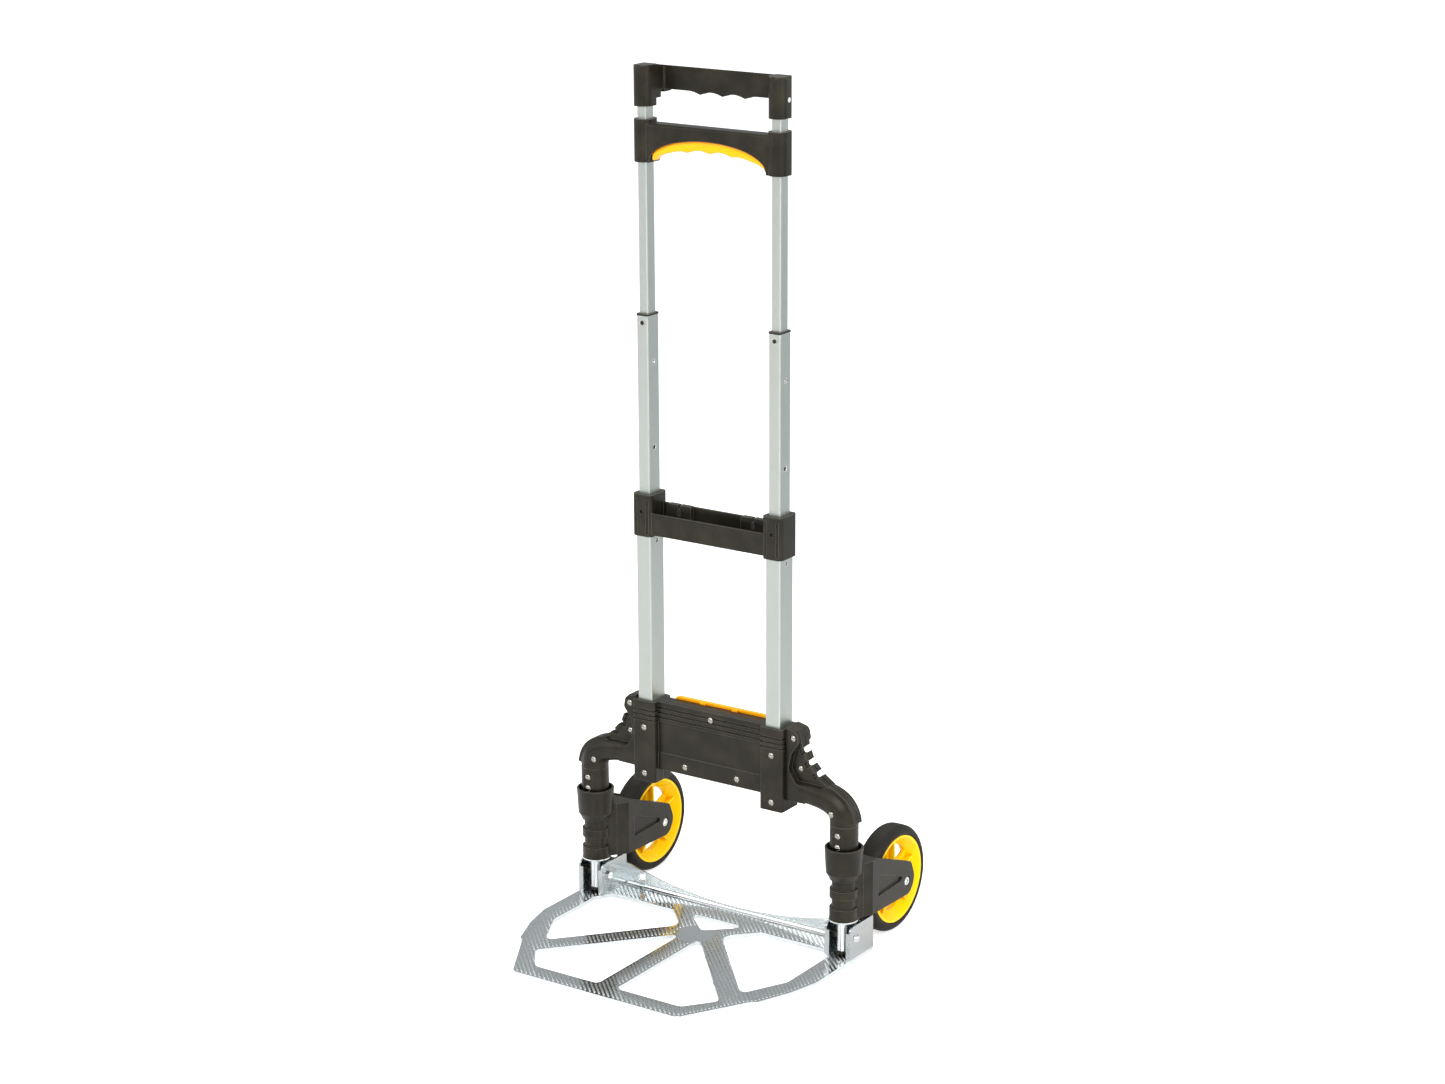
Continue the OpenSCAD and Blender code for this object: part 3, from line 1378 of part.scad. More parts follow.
module wheel_bush(side)
  color(alloy) place() on_side(side) about_axle()
    difference() {
      cylinder(r = bush_r, h = hub_w, center = true);
      cylinder(r = axle_r + run_gap, h = hub_w + 2, center = true);
    }

lower_rail(-1);  // lower_rail_left
lower_rail(1);  // lower_rail_right
rail_bush(-1);  // rail_bush_left
rail_bush(1);  // rail_bush_right
housing_front_shell();
housing_rear_shell();
rear_cover();
housing_rivets();
arm_front_shell(-1);  // arm_front_shell_left
arm_front_shell(1);  // arm_front_shell_right
arm_rear_shell(-1);  // arm_rear_shell_left
arm_rear_shell(1);  // arm_rear_shell_right
arm_rivets();
crossbar();
crossbar_screws();
leg_spigot(-1);  // leg_spigot_left
leg_spigot(1);  // leg_spigot_right
leg_tube(-1);  // leg_tube_left
leg_tube(1);  // leg_tube_right
leg_washers();
leg_foot(-1);  // leg_foot_left
leg_foot(1);  // leg_foot_right
spigot_rivets();
middle_rail(-1);  // middle_rail_left
middle_rail(1);  // middle_rail_right
middle_collar(-1);  // middle_collar_left
middle_collar(1);  // middle_collar_right
middle_lock_block(-1);  // middle_lock_block_left
middle_lock_block(1);  // middle_lock_block_right
middle_lock_springs();
middle_lock_pins();
upper_rail(-1);  // upper_rail_left
upper_rail(1);  // upper_rail_right
top_handle();
lower_handle();
handle_screws();
upper_lock_block(-1);  // upper_lock_block_left
upper_lock_block(1);  // upper_lock_block_right
upper_lock_springs();
upper_lock_pins();
release_trigger();
release_rods();
toe_plate();
hinge_bracket(-1);  // hinge_bracket_left
hinge_bracket(1);  // hinge_bracket_right
hinge_pin(-1);  // hinge_pin_left
hinge_pin(1);  // hinge_pin_right
hinge_spacers();
fork(-1);  // fork_left
fork(1);  // fork_right
axle(-1);  // axle_left
axle(1);  // axle_right
tyre(-1);  // tyre_left
tyre(1);  // tyre_right
rim(-1);  // rim_left
rim(1);  // rim_right
wheel_bush(-1);  // wheel_bush_left
wheel_bush(1);  // wheel_bush_right
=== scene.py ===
"""Folding hand truck: finishes, fine mesh detail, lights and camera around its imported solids.

Lengths are in metres, in the frame's own axes: X across the truck, Y from the toe plate back to the
wheels, Z up from the floor.
"""

import json
import logging
import math
from collections import defaultdict
from dataclasses import dataclass
from enum import Enum

import bmesh
import bpy
from mathutils import Matrix, Vector

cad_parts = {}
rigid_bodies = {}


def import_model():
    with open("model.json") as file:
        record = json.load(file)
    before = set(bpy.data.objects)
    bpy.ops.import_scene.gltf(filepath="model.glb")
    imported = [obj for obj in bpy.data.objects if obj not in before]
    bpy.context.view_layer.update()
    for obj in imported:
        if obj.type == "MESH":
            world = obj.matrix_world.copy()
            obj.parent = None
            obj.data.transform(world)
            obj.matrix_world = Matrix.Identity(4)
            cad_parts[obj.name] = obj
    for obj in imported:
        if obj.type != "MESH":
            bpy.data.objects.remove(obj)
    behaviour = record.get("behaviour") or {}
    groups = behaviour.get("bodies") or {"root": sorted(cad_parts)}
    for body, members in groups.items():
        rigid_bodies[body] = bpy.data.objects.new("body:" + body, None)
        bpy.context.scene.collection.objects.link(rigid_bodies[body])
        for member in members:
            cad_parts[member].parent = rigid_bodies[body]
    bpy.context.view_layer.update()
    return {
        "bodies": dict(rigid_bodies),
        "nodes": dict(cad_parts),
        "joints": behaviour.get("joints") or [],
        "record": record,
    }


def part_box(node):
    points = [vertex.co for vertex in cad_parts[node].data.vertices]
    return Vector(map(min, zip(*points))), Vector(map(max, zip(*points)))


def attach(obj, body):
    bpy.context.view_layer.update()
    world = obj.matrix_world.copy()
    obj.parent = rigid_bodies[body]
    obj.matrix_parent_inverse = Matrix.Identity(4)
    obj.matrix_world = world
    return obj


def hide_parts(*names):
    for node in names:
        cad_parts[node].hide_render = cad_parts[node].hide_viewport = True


MM = 0.001
# points as near as this are one point
SAME_POINT = 0.001 * MM
# most of a noise lies between these
NOISE_SPAN = {"From Min": 0.3, "From Max": 0.7}
log = logging.getLogger("hand_truck")

Tree = bpy.types.NodeTree
Socket = bpy.types.NodeSocket
Material = bpy.types.Material
Mesh = bmesh.types.BMesh
# the value where a tint starts, the value where it is full, and how much of it then shows
Span = tuple[float, float, float]


class Side(Enum):
    """The two sides of the truck, each with the sign of its X."""

    LEFT = -1
    RIGHT = 1

    @property
    def suffix(self) -> str:
        """The ending of this side's node and body names."""
        return self.name.lower()


# ---- small helpers ----


def linear(colour: str) -> tuple[float, float, float, float]:
    """Turns an sRGB hex colour into linear RGBA.

    Args:
        colour: a colour such as "#2b2b27".

    Returns:
        Red, green and blue as linear light, and an alpha of 1.
    """
    channels = [int(colour[i : i + 2], 16) / 255 for i in (1, 3, 5)]
    return (*(c / 12.92 if c <= 0.04045 else ((c + 0.055) / 1.055) ** 2.4 for c in channels), 1.0)


def add_node(
    tree: Tree, kind: str, settings: dict | None = None, inputs: dict | None = None
) -> bpy.types.Node:
    """Adds one node to a tree.

    Args:
        tree: the node tree.
        kind: the node's type name.
        settings: properties to set on the node.
        inputs: a value or an output socket for each named or numbered input.

    Returns:
        The new node.
    """
    node = tree.nodes.new(kind)
    for name, value in (settings or {}).items():
        setattr(node, name, value)
    for key, value in (inputs or {}).items():
        if isinstance(value, Socket):
            tree.links.new(value, node.inputs[key])
        else:
            node.inputs[key].default_value = value
    return node


def empty_tree(owner: Material | bpy.types.World) -> Tree:
    """Switches on the nodes of a material or a world, and clears them.

    Args:
        owner: the material or the world.

    Returns:
        Its empty node tree.
    """
    owner.use_nodes = True
    owner.node_tree.nodes.clear()
    return owner.node_tree


def linked(name: str, data: bpy.types.ID) -> bpy.types.Object:
    """Makes an object and links it into the scene.

    Args:
        name: its name.
        data: its mesh, lamp or camera.

    Returns:
        The object.
    """
    thing = bpy.data.objects.new(name, data)
    bpy.context.scene.collection.objects.link(thing)
    return thing


def per_metre(size_mm: float) -> float:
    """The texture scale that gives one period of this many millimetres."""
    return 1.0 / (size_mm * MM)


def relief(
    tree: Tree, place: Socket, scale: float, detail: float, depth_mm: float, normal: Socket
) -> tuple[Socket, Socket]:
    """Works a noise into a surface.

    Args:
        tree: the material's node tree.
        place: where the noise is taken.
        scale: the noise's scale.
        detail: how much finer detail it has.
        depth_mm: how deep it goes.
        normal: the normal without it.

    Returns:
        The noise's value, and the normal with it.
    """
    noise = add_node(
        tree, "ShaderNodeTexNoise", inputs={"Vector": place, "Scale": scale, "Detail": detail}
    ).outputs["Fac"]
    bump = add_node(
        tree, "ShaderNodeBump", inputs={"Height": noise, "Distance": depth_mm * MM, "Normal": normal}
    )
    return noise, bump.outputs["Normal"]


def edge_turn(tree: Tree, normal: Socket) -> Socket:
    """How well a rounded normal agrees with the face's own.

    Args:
        tree: the material's node tree.
        normal: the normal with its edges rounded.

    Returns:
        1 on a face, and less on an edge.
    """
    flat = add_node(tree, "ShaderNodeNewGeometry").outputs["Normal"]
    turn = add_node(tree, "ShaderNodeVectorMath", {"operation": "DOT_PRODUCT"}, {0: normal, 1: flat})
    return turn.outputs["Value"]


def tinted(tree: Tree, colour: str, layers: tuple[tuple[Socket, Span, str], ...]) -> Socket:
    """Lays tints over a colour, each where its value has gone from one mark to another.

    Args:
        tree: the node tree.
        colour: the hex colour underneath.
        layers: each tint's value, its span and its hex colour.

    Returns:
        The colour with its tints.
    """
    mixed = linear(colour)
    for value, (start, full, most), tint in layers:
        amount = add_node(
            tree,
            "ShaderNodeMapRange",
            inputs={"Value": value, "From Min": start, "From Max": full, "To Max": most},
        )
        mix = add_node(
            tree,
            "ShaderNodeMix",
            {"data_type": "RGBA"},
            {"Factor": amount.outputs["Result"], "A": mixed, "B": linear(tint)},
        )
        mixed = mix.outputs["Result"]
    return mixed


# ---- finishes ----


@dataclass(frozen=True)
class Finish:
    """A surface finish: its colour, roughness and the softness of its edges."""

    name: str
    colour: str
    roughness: float
    metallic: float = 0.0
    edge_mm: float = 0.5

    def build(self) -> Material:
        """Builds the material.

        Returns:
            The finished material, ready to put on a mesh.
        """
        material = bpy.data.materials.new(self.name)
        tree = empty_tree(material)
        place = add_node(tree, "ShaderNodeTexCoord").outputs["Object"]
        edge = add_node(tree, "ShaderNodeBevel", {"samples": 4}, {"Radius": self.edge_mm * MM})
        inputs = {"Metallic": self.metallic, **self.surface(tree, place, edge.outputs["Normal"])}
        shader = add_node(tree, "ShaderNodeBsdfPrincipled", inputs=inputs)
        add_node(tree, "ShaderNodeOutputMaterial", inputs={"Surface": shader.outputs["BSDF"]})
        material.diffuse_color = linear(self.colour)
        return material

    def surface(self, tree: Tree, place: Socket, normal: Socket) -> dict:
        """The shader inputs of this finish, which each kind of finish gives.

        Args:
            tree: the material's node tree.
            place: the point's place in metres.
            normal: the normal with its edges rounded.

        Returns:
            A value or socket for each shader input that this finish sets.
        """
        raise NotImplementedError


@dataclass(frozen=True)
class MouldedPlastic(Finish):
    """Injection-moulded plastic: a fine grain, a patchy haze, painted shade in its inner corners and a
    painted highlight along its edges.
    """

    # painted highlight: the pale colour laid along the edges
    rubbed: str = "#77746a"
    hazy: str = "#302d24"
    # painted shade: the dark colour laid in the inner corners
    crevice: str = "#0b0a06"
    glow: str = "#fff9ea"
    grain_mm: float = 0.9
    grain_depth_mm: float = 0.012
    haze_mm: float = 28.0
    corner_mm: float = 7.0
    mottle: float = 0.12
    sheen: float = 0.25
    haze_span: Span = (0.42, 0.72, 0.6)
    rubbed_span: Span = (0.995, 0.86, 0.75)
    crevice_span: Span = (0.85, 0.35, 1.0)

    def surface(self, tree: Tree, place: Socket, normal: Socket) -> dict:
        """The shader inputs of moulded plastic.

        Args:
            tree: the material's node tree.
            place: the point's place in metres.
            normal: the normal with its edges rounded.

        Returns:
            A value or socket for each shader input that this finish sets.
        """
        # the real grain is about 0.1 mm; it is drawn coarser so that it shows
        _, grained = relief(tree, place, per_metre(self.grain_mm), 2.0, self.grain_depth_mm, normal)
        flow = add_node(
            tree,
            "ShaderNodeTexNoise",
            inputs={"Vector": place, "Scale": per_metre(self.haze_mm), "Detail": 3.0},
        ).outputs["Fac"]
        rough = add_node(
            tree,
            "ShaderNodeMapRange",
            inputs={
                "Value": flow,
                **NOISE_SPAN,
                "To Min": self.roughness * (1 - self.mottle),
                "To Max": self.roughness * (1 + self.mottle),
            },
        )
        # painted shade: the colour darkens within a few millimetres of an inner corner, where the AO node
        # finds little open sky
        painted_shade_ao = add_node(
            tree,
            "ShaderNodeAmbientOcclusion",
            {"samples": 6},
            {"Distance": self.corner_mm * MM, "Normal": normal},
        )
        layers = (
            (flow, self.haze_span, self.hazy),
            # painted highlight along the edges, where the rounded normal turns
            (edge_turn(tree, normal), self.rubbed_span, self.rubbed),
            # painted shade in the inner corners, from the AO node
            (painted_shade_ao.outputs["AO"], self.crevice_span, self.crevice),
        )
        return {
            "Base Color": tinted(tree, self.colour, layers),
            "Roughness": rough.outputs["Result"],
            "Specular IOR Level": self.sheen,
            "Specular Tint": linear(self.glow),
            "Normal": grained,
        }


@dataclass(frozen=True)
class DrawnAluminium(Finish):
    """Anodised extrusion: die lines run along its length, and the anodising scatters the light softly."""

    metallic: float = 1.0
    line_mm: float = 0.6
    line_length_mm: float = 180.0
    line_depth_mm: float = 0.004
    streak: float = 0.06
    # painted highlight: the white laid on the rounded corners
    corner: str = "#ffffff"
    corner_span: Span = (0.995, 0.9, 1.0)

    def surface(self, tree: Tree, place: Socket, normal: Socket) -> dict:
        """The shader inputs of drawn aluminium.

        Args:
            tree: the material's node tree.
            place: the point's place in metres.
            normal: the normal with its edges rounded.

        Returns:
            A value or socket for each shader input that this finish sets.
        """
        # the real lines are about 0.1 mm apart; they are drawn coarser so that they show
        narrow = per_metre(self.line_mm)
        drawn = add_node(
            tree,
            "ShaderNodeMapping",
            inputs={"Vector": place, "Scale": (narrow, narrow, per_metre(self.line_length_mm))},
        )
        lines, lined = relief(tree, drawn.outputs["Vector"], 1.0, 3.0, self.line_depth_mm, normal)
        rough = add_node(
            tree,
            "ShaderNodeMapRange",
            inputs={
                "Value": lines,
                "To Min": self.roughness - self.streak,
                "To Max": self.roughness + self.streak,
            },
        )
        # painted highlight: the extrusion's rounded corners are painted brighter than its faces
        painted_highlight = (edge_turn(tree, normal), self.corner_span, self.corner)
        return {
            "Base Color": tinted(tree, self.colour, (painted_highlight,)),
            "Roughness": rough.outputs["Result"],
            "Normal": lined,
        }


@dataclass(frozen=True)
class BrightZinc(Finish):
    """Zinc-plated steel: near mirror-bright, with the soft ripple of rolled and pressed sheet."""

    metallic: float = 1.0
    ripple_mm: float = 22.0
    ripple_depth_mm: float = 0.05
    cloud_mm: float = 1.5
    cloud: float = 0.1
    stretch: float = 1.0

    def surface(self, tree: Tree, place: Socket, normal: Socket) -> dict:
        """The shader inputs of bright zinc.

        Args:
            tree: the material's node tree.
            place: the point's place in metres.
            normal: the normal with its edges rounded.

        Returns:
            A value or socket for each shader input that this finish sets.
        """
        # rolling draws the ripples out along X
        rolled = add_node(
            tree, "ShaderNodeMapping", inputs={"Vector": place, "Scale": (1 / self.stretch, 1.0, 1.0)}
        ).outputs["Vector"]
        _, rippled = relief(tree, rolled, per_metre(self.ripple_mm), 2.0, self.ripple_depth_mm, normal)
        fine = add_node(
            tree,
            "ShaderNodeTexNoise",
            inputs={"Vector": place, "Scale": per_metre(self.cloud_mm), "Detail": 3.0},
        )
        rough = add_node(
            tree,
            "ShaderNodeMapRange",
            inputs={
                "Value": fine.outputs["Fac"],
                **NOISE_SPAN,
                "To Min": max(0.02, self.roughness - self.cloud),
                "To Max": self.roughness + self.cloud,
            },
        )
        return {
            "Base Color": linear(self.colour),
            "Roughness": rough.outputs["Result"],
            "Normal": rippled,
        }


@dataclass(frozen=True)
class TyreRubber(Finish):
    """Solid moulded rubber: matt, finely grained and faintly dusty."""

    dust: str = "#2c2a23"
    dust_span: Span = (0.35, 0.75, 0.5)
    dust_mm: float = 16.0
    grain_mm: float = 1.6
    grain_depth_mm: float = 0.03
    sheen: float = 0.2

    def surface(self, tree: Tree, place: Socket, normal: Socket) -> dict:
        """The shader inputs of tyre rubber.

        Args:
            tree: the material's node tree.
            place: the point's place in metres.
            normal: the normal with its edges rounded.

        Returns:
            A value or socket for each shader input that this finish sets.
        """
        # the mould's blasted face is finer than this; it is drawn coarser so that it shows
        _, grained = relief(tree, place, per_metre(self.grain_mm), 4.0, self.grain_depth_mm, normal)
        dust = add_node(
            tree,
            "ShaderNodeTexNoise",
            inputs={"Vector": place, "Scale": per_metre(self.dust_mm), "Detail": 5.0},
        )
        return {
            "Base Color": tinted(tree, self.colour, ((dust.outputs["Fac"], self.dust_span, self.dust),)),
            "Roughness": self.roughness,
            "Specular IOR Level": self.sheen,
            "Normal": grained,
        }


class Finishes:
    """Every finish of the truck, built once."""

    def __init__(self) -> None:
        """Builds the materials."""
        # polypropylene, moulded in a spark-eroded tool: a satin, warm black
        self.black = MouldedPlastic("moulded_polypropylene", "#1b1913", 0.34, edge_mm=0.9).build()
        # ABS, moulded in a polished tool: glossier, deep yellow, with painted orange shade in its corners and
        # a painted pale highlight along its edges
        polished = {"edge_mm": 0.8, "grain_depth_mm": 0.004}
        tints = {"rubbed": "#ffdc40", "hazy": "#ffae00", "crevice": "#f08a00", "glow": "#ffffff"}
        self.yellow = MouldedPlastic("moulded_yellow_abs", "#ffb600", 0.3, **polished, **tints).build()
        # nylon, moulded bright and left glossy: painted orange shade in the spokes' hollows and a painted
        # pale highlight along its edges
        tints = {"rubbed": "#fff43c", "hazy": "#ffc800", "crevice": "#f49600", "glow": "#ffe68c"}
        self.rim = MouldedPlastic("moulded_yellow_nylon", "#ffd000", 0.28, **polished, **tints).build()
        # extruded aluminium, clear-anodised: satin, with a painted highlight along its rounded corners
        self.rail = DrawnAluminium("anodised_aluminium", "#b4b9b2", 0.4, edge_mm=1.5).build()
        # steel sheet, pressed and plated: mirror-bright, with long soft ripples from the rolls
        self.plate = BrightZinc(
            "zinc_plated_sheet", "#dfe3e4", 0.13, edge_mm=0.9, ripple_depth_mm=0.09, stretch=5.0
        ).build()
        # the ribs' crests: what slides over the plate scours them pale and dulls their reflections
        self.rib = BrightZinc(
            "scoured_zinc", "#dde0e0", 0.26, edge_mm=0.2, ripple_depth_mm=0.01
        ).build()
        # the ears' zinc is a greyer, slightly duller copy of the plate's
        self.bracket = BrightZinc(
            "zinc_plated_ear", "#b3b8b9", 0.2, edge_mm=0.9, ripple_depth_mm=0.06
        ).build()
        # drawn tube and rod under bright zinc: clear reflections that run along it
        self.steel = BrightZinc(
            "zinc_plated_rod", "#dadcdc", 0.14, edge_mm=0.3, ripple_depth_mm=0.01, cloud=0.06
        ).build()
        # cold-headed rivets: the domes are tumbled, which greys and softens them
        self.rivet = BrightZinc(
            "tumbled_rivet", "#a5a298", 0.2, edge_mm=0.3, ripple_depth_mm=0.01, cloud=0.06
        ).build()
        # solid rubber, moulded on to the rim: matt black
        self.tyre = TyreRubber("tyre_rubber", "#191712", 0.55, edge_mm=0.6).build()
        # sintered steel, sized in its die: grey and fairly dull
        self.bush = BrightZinc(
            "sintered_bush", "#9a9a96", 0.35, edge_mm=0.2, ripple_depth_mm=0.005
        ).build()
        # hard-drawn wire under zinc: its edges are as good as sharp
        self.spring = BrightZinc(
            "spring_wire", "#a8a8a4", 0.25, edge_mm=0.05, ripple_depth_mm=0.002
        ).build()
        # steel, blackened and oiled: dark, with a broad highlight
        self.screw = BrightZinc(
            "blackened_screw", "#1c1c1a", 0.35, edge_mm=0.2, ripple_depth_mm=0.002
        ).build()
        self.by_slot: dict[str, Material] = {
            "plastic_black": self.black,
            "plastic_yellow": self.yellow,
            "rail_alloy": self.rail,
            "plate_zinc": self.plate,
            "steel_bright": self.steel,
            "tyre_rubber": self.tyre,
            "bush_steel": self.bush,
            "spring_steel": self.spring,
            "screw_black": self.screw,
        }


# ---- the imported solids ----


class Frame:
    """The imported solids: their finishes, and the softening of those made of flat facets."""

    FACETED: tuple[str, ...] = ("arm_front_shell", "arm_rear_shell")
    RIVETS: tuple[str, ...] = ("housing_rivets", "arm_rivets", "spigot_rivets")
    FACET_ANGLE: float = math.radians(38)

    def __init__(self, loaded: dict) -> None:
        """Keeps what the loader returned.
        """
        self.nodes: dict[str, bpy.types.Object] = loaded["nodes"]
        self.slots: dict[str, str] = {p["node"]: p["material_slot"] for p in loaded["record"]["subparts"]}

    def dress(self, finishes: Finishes) -> None:
        """Puts each node's finish on its mesh.

        Args:
            finishes: the truck's finishes.
        """
        for name, thing in self.nodes.items():
            finish = finishes.by_slot[self.slots[name]]
            if name.startswith("hinge_bracket"):
                finish = finishes.bracket
            elif name.startswith("rim_"):
                finish = finishes.rim
            thing.data.materials.clear()
            thing.data.materials.append(finish)
            if name.startswith(self.FACETED):
                self.soften(thing, self.FACET_ANGLE)
        log.info("dressed %d solids", len(self.nodes))

    @staticmethod
    def soften(thing: bpy.types.Object, angle: float) -> None:
        """Shades a faceted mesh smoothly across every edge flatter than an angle.

        Args:
            thing: the object whose mesh is shaded.
            angle: the sharpest edge, in radians, that still looks smooth.
        """
        mesh = thing.data
        # facets that meet have corners of their own, which agree to a micrometre
        places = [tuple(round(c, 6) for c in vertex.co) for vertex in mesh.vertices]
        around: dict[tuple, list] = defaultdict(list)
        for face in mesh.polygons:
            for index in face.vertices:
                around[places[index]].append(face)
        limit = math.cos(angle)
        normals = []
        for face in mesh.polygons:
            for index in face.vertices:
                near = (f for f in around[places[index]] if f.normal.dot(face.normal) > limit)
                total = sum((f.normal * f.area for f in near), Vector())
                normals.append(total.normalized() if total.length > 0 else face.normal)
        mesh.polygons.foreach_set("use_smooth", [True] * len(mesh.polygons))
        mesh.normals_split_custom_set(normals)


# ---- meshes ----


def mesh_object(name: str, mesh: Mesh) -> bpy.types.Object:
    """Turns a bmesh into an object in the scene.

    Args:
        name: the piece's name.
        mesh: its mesh, which is freed.

    Returns:
        The object.
    """
    data = bpy.data.meshes.new(name)
    mesh.to_mesh(data)
    mesh.free()
    return linked(name, data)


def loft(
    mesh: Mesh, rings: list[list[Vector]], sharp: tuple[int, ...] = (), smooth: bool = True
) -> None:
    """Skins a closed solid over a row of rings, with a flat face at each end.

    Args:
        mesh: the mesh that it is added to.
        rings: rings of equally many points, all turning the same way.
        sharp: the points of a ring whose lines along the solid stay sharp.
        smooth: whether the skin between the rings is shaded smoothly.
    """
    loops = [[mesh.verts.new(point) for point in ring] for ring in rings]
    count = len(loops[0])
    for near, far in zip(loops, loops[1:]):
        for i in range(count):
            face = mesh.faces.new((near[i], near[(i + 1) % count], far[(i + 1) % count], far[i]))
            face.smooth = smooth
    for end in (loops[0][::-1], loops[-1]):
        cap = mesh.faces.new(end)
        for edge in cap.edges:
            edge.smooth = False
    for near, far in zip(loops, loops[1:]):
        for i in sharp:
            edge = mesh.edges.get((near[i], far[i]))
            edge.smooth = False


def finished(name: str, mesh: Mesh, body: str, finish: Material) -> bpy.types.Object:
    """Makes a piece of its mesh, dresses it and sets it on its body.

    Args:
        name: the piece's name.
        mesh: its mesh.
        body: the body that it rides on.
        finish: its material.

    Returns:
        The piece.
    """
    bmesh.ops.recalc_face_normals(mesh, faces=mesh.faces)
    piece = mesh_object(name, mesh)
    piece.data.materials.append(finish)
    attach(piece, body)
    log.info("made %s on %s", name, body)
    return piece


# ---- the toe plate ----


@dataclass
class PlateRibs:
    """The fine slanting ribs rolled into the toe plate's top face."""

    pitch: float = 4.5 * MM
    width: float = 2.5 * MM
    height: float = 0.6 * MM
    sunk: float = 0.05 * MM
    # the section's shoulders, as shares of half the width and of the height
    shoulder: float = 0.62
    shoulder_height: float = 0.72
    # kept clear: the plate's edges, the fold into the flange, and the hub
    margin: float = 3.2 * MM
    bend: float = 5.5 * MM
    hub_y: float = -6.0 * MM
    hub_radius: float = 24.0 * MM
    shortest: float = 3.0 * MM
    slant: float = math.radians(-45)
    # a triangle belongs to the top if it faces up and lies at the top's height
    facing_up: float = 0.99
    same_height: float = 0.01 * MM

    @property
    def along(self) -> Vector:
        """The ribs' direction, which runs towards the front of the plate."""
        return Vector((math.cos(self.slant), math.sin(self.slant), 0))

    @property
    def across(self) -> Vector:
        """The direction from one rib to the next."""
        return Vector((-math.sin(self.slant), math.cos(self.slant), 0))

    def top_faces(self, plate: bpy.types.Object, top: float) -> list[list[Vector]]:
        """The triangles of the plate's flat top.

        Args:
            plate: the plate's object.
            top: the height of its top face.

        Returns:
            Each triangle as three points.
        """
        mesh = plate.data
        mesh.calc_loop_triangles()
        found = []
        for triangle in mesh.loop_triangles:
            points = [mesh.vertices[i].co for i in triangle.vertices]
            level = all(abs(p.z - top) < self.same_height for p in points)
            if triangle.normal.z > self.facing_up and level:
                found.append(points)
        return found

    def spans(self, triangles: list[list[Vector]], offset: float) -> list[list[float]]:
        """Where one line of the pattern runs over the plate.

        Args:
            triangles: the plate's top.
            offset: the line's distance from the origin.

        Returns:
            The start and end of each stretch, measured along the line.
        """
        along, across = self.along, self.across
        cuts = []
        for points in triangles:
            hits = []
            for i, a in enumerate(points):
                b = points[(i + 1) % 3]
                u, v = a.dot(across) - offset, b.dot(across) - offset
                if (u < 0) != (v < 0):
                    hits.append(a.lerp(b, u / (u - v)).dot(along))
            if len(hits) == 2:
                cuts.append(sorted(hits))
        merged: list[list[float]] = []
        for start, end in sorted(cuts):
            if merged and start <= merged[-1][1] + SAME_POINT:
                merged[-1][1] = max(merged[-1][1], end)
            else:
                merged.append([start, end])
        return self.clear_of_hub([[s + self.margin, e - self.margin] for s, e in merged], offset)

    def clear_of_hub(self, stretches: list[list[float]], offset: float) -> list[list[float]]:
        """Takes the smooth round hub, where the spokes meet, out of a line's stretches.

        Args:
            stretches: the start and end of each stretch.
            offset: the line's distance from the origin.

        Returns:
            What is left of each stretch, if it is long enough for a rib.
        """
        hub = Vector((0, self.hub_y, 0))
        aside = hub.dot(self.across) - offset
        half = math.sqrt(max(0.0, self.hub_radius**2 - aside**2))
        if half > 0:
            middle = hub.dot(self.along)
            before = [[start, min(end, middle - half)] for start, end in stretches]
            after = [[max(start, middle + half), end] for start, end in stretches]
            stretches = sorted(before + after)
        return [piece for piece in stretches if piece[1] - piece[0] > self.shortest]

    def build(self, plate: bpy.types.Object, top: float) -> Mesh:
        """Builds the ribs as one mesh.

        Args:
            plate: the plate's object.
            top: the height of its top face.

        Returns:
            The ribs' mesh.
        """
        triangles = self.top_faces(plate, top)
        back = max(p.y for points in triangles for p in points) - self.bend
        reach = [p.dot(self.across) for points in triangles for p in points]
        mesh = bmesh.new()
        offset = math.floor(min(reach) / self.pitch) * self.pitch
        while offset < max(reach):
            for start, end in self.spans(triangles, offset):
                # along runs towards the front, so its start is what the bend cuts off
                start = max(start, ((self.across * offset).y - back) / -self.along.y)
                if end - start > self.shortest:
                    self.rib(mesh, offset, start, end, top)
            offset += self.pitch
        return mesh

    def rib(self, mesh: Mesh, offset: float, start: float, end: float, top: float) -> None:
        """Adds one rib: a low ridge with sloping sides and ends.

        Args:
            mesh: the mesh that it is added to.
            offset: the rib's distance from the origin, across.
            start: where it begins, along.
            end: where it ends, along.
            top: the height of the face that it stands on.
        """
        foot = self.across * offset + Vector((0, 0, top - self.sunk))
        half = self.width / 2
        out, up = self.shoulder, self.shoulder_height
        section = ((-1.0, 0.0), (-out, up), (0.0, 1.0), (out, up), (1.0, 0.0))
        rings = []
        for a, share in ((start, 0.0), (start + half, 1.0), (end - half, 1.0), (end, 0.0)):
            place = foot + self.along * a
            rise = Vector((0, 0, share * self.height))
            rings.append([mesh.verts.new(place + self.across * half * c + rise * h) for c, h in section])
        for near, far in zip(rings, rings[1:]):
            for i in range(len(near) - 1):
                mesh.faces.new((near[i], far[i], far[i + 1], near[i + 1])).smooth = True
        right = [ring[-1] for ring in rings[1:-1]]
        left = [ring[0] for ring in rings[-2:0:-1]]
        mesh.faces.new((*rings[0], *right, *rings[-1][::-1], *left))


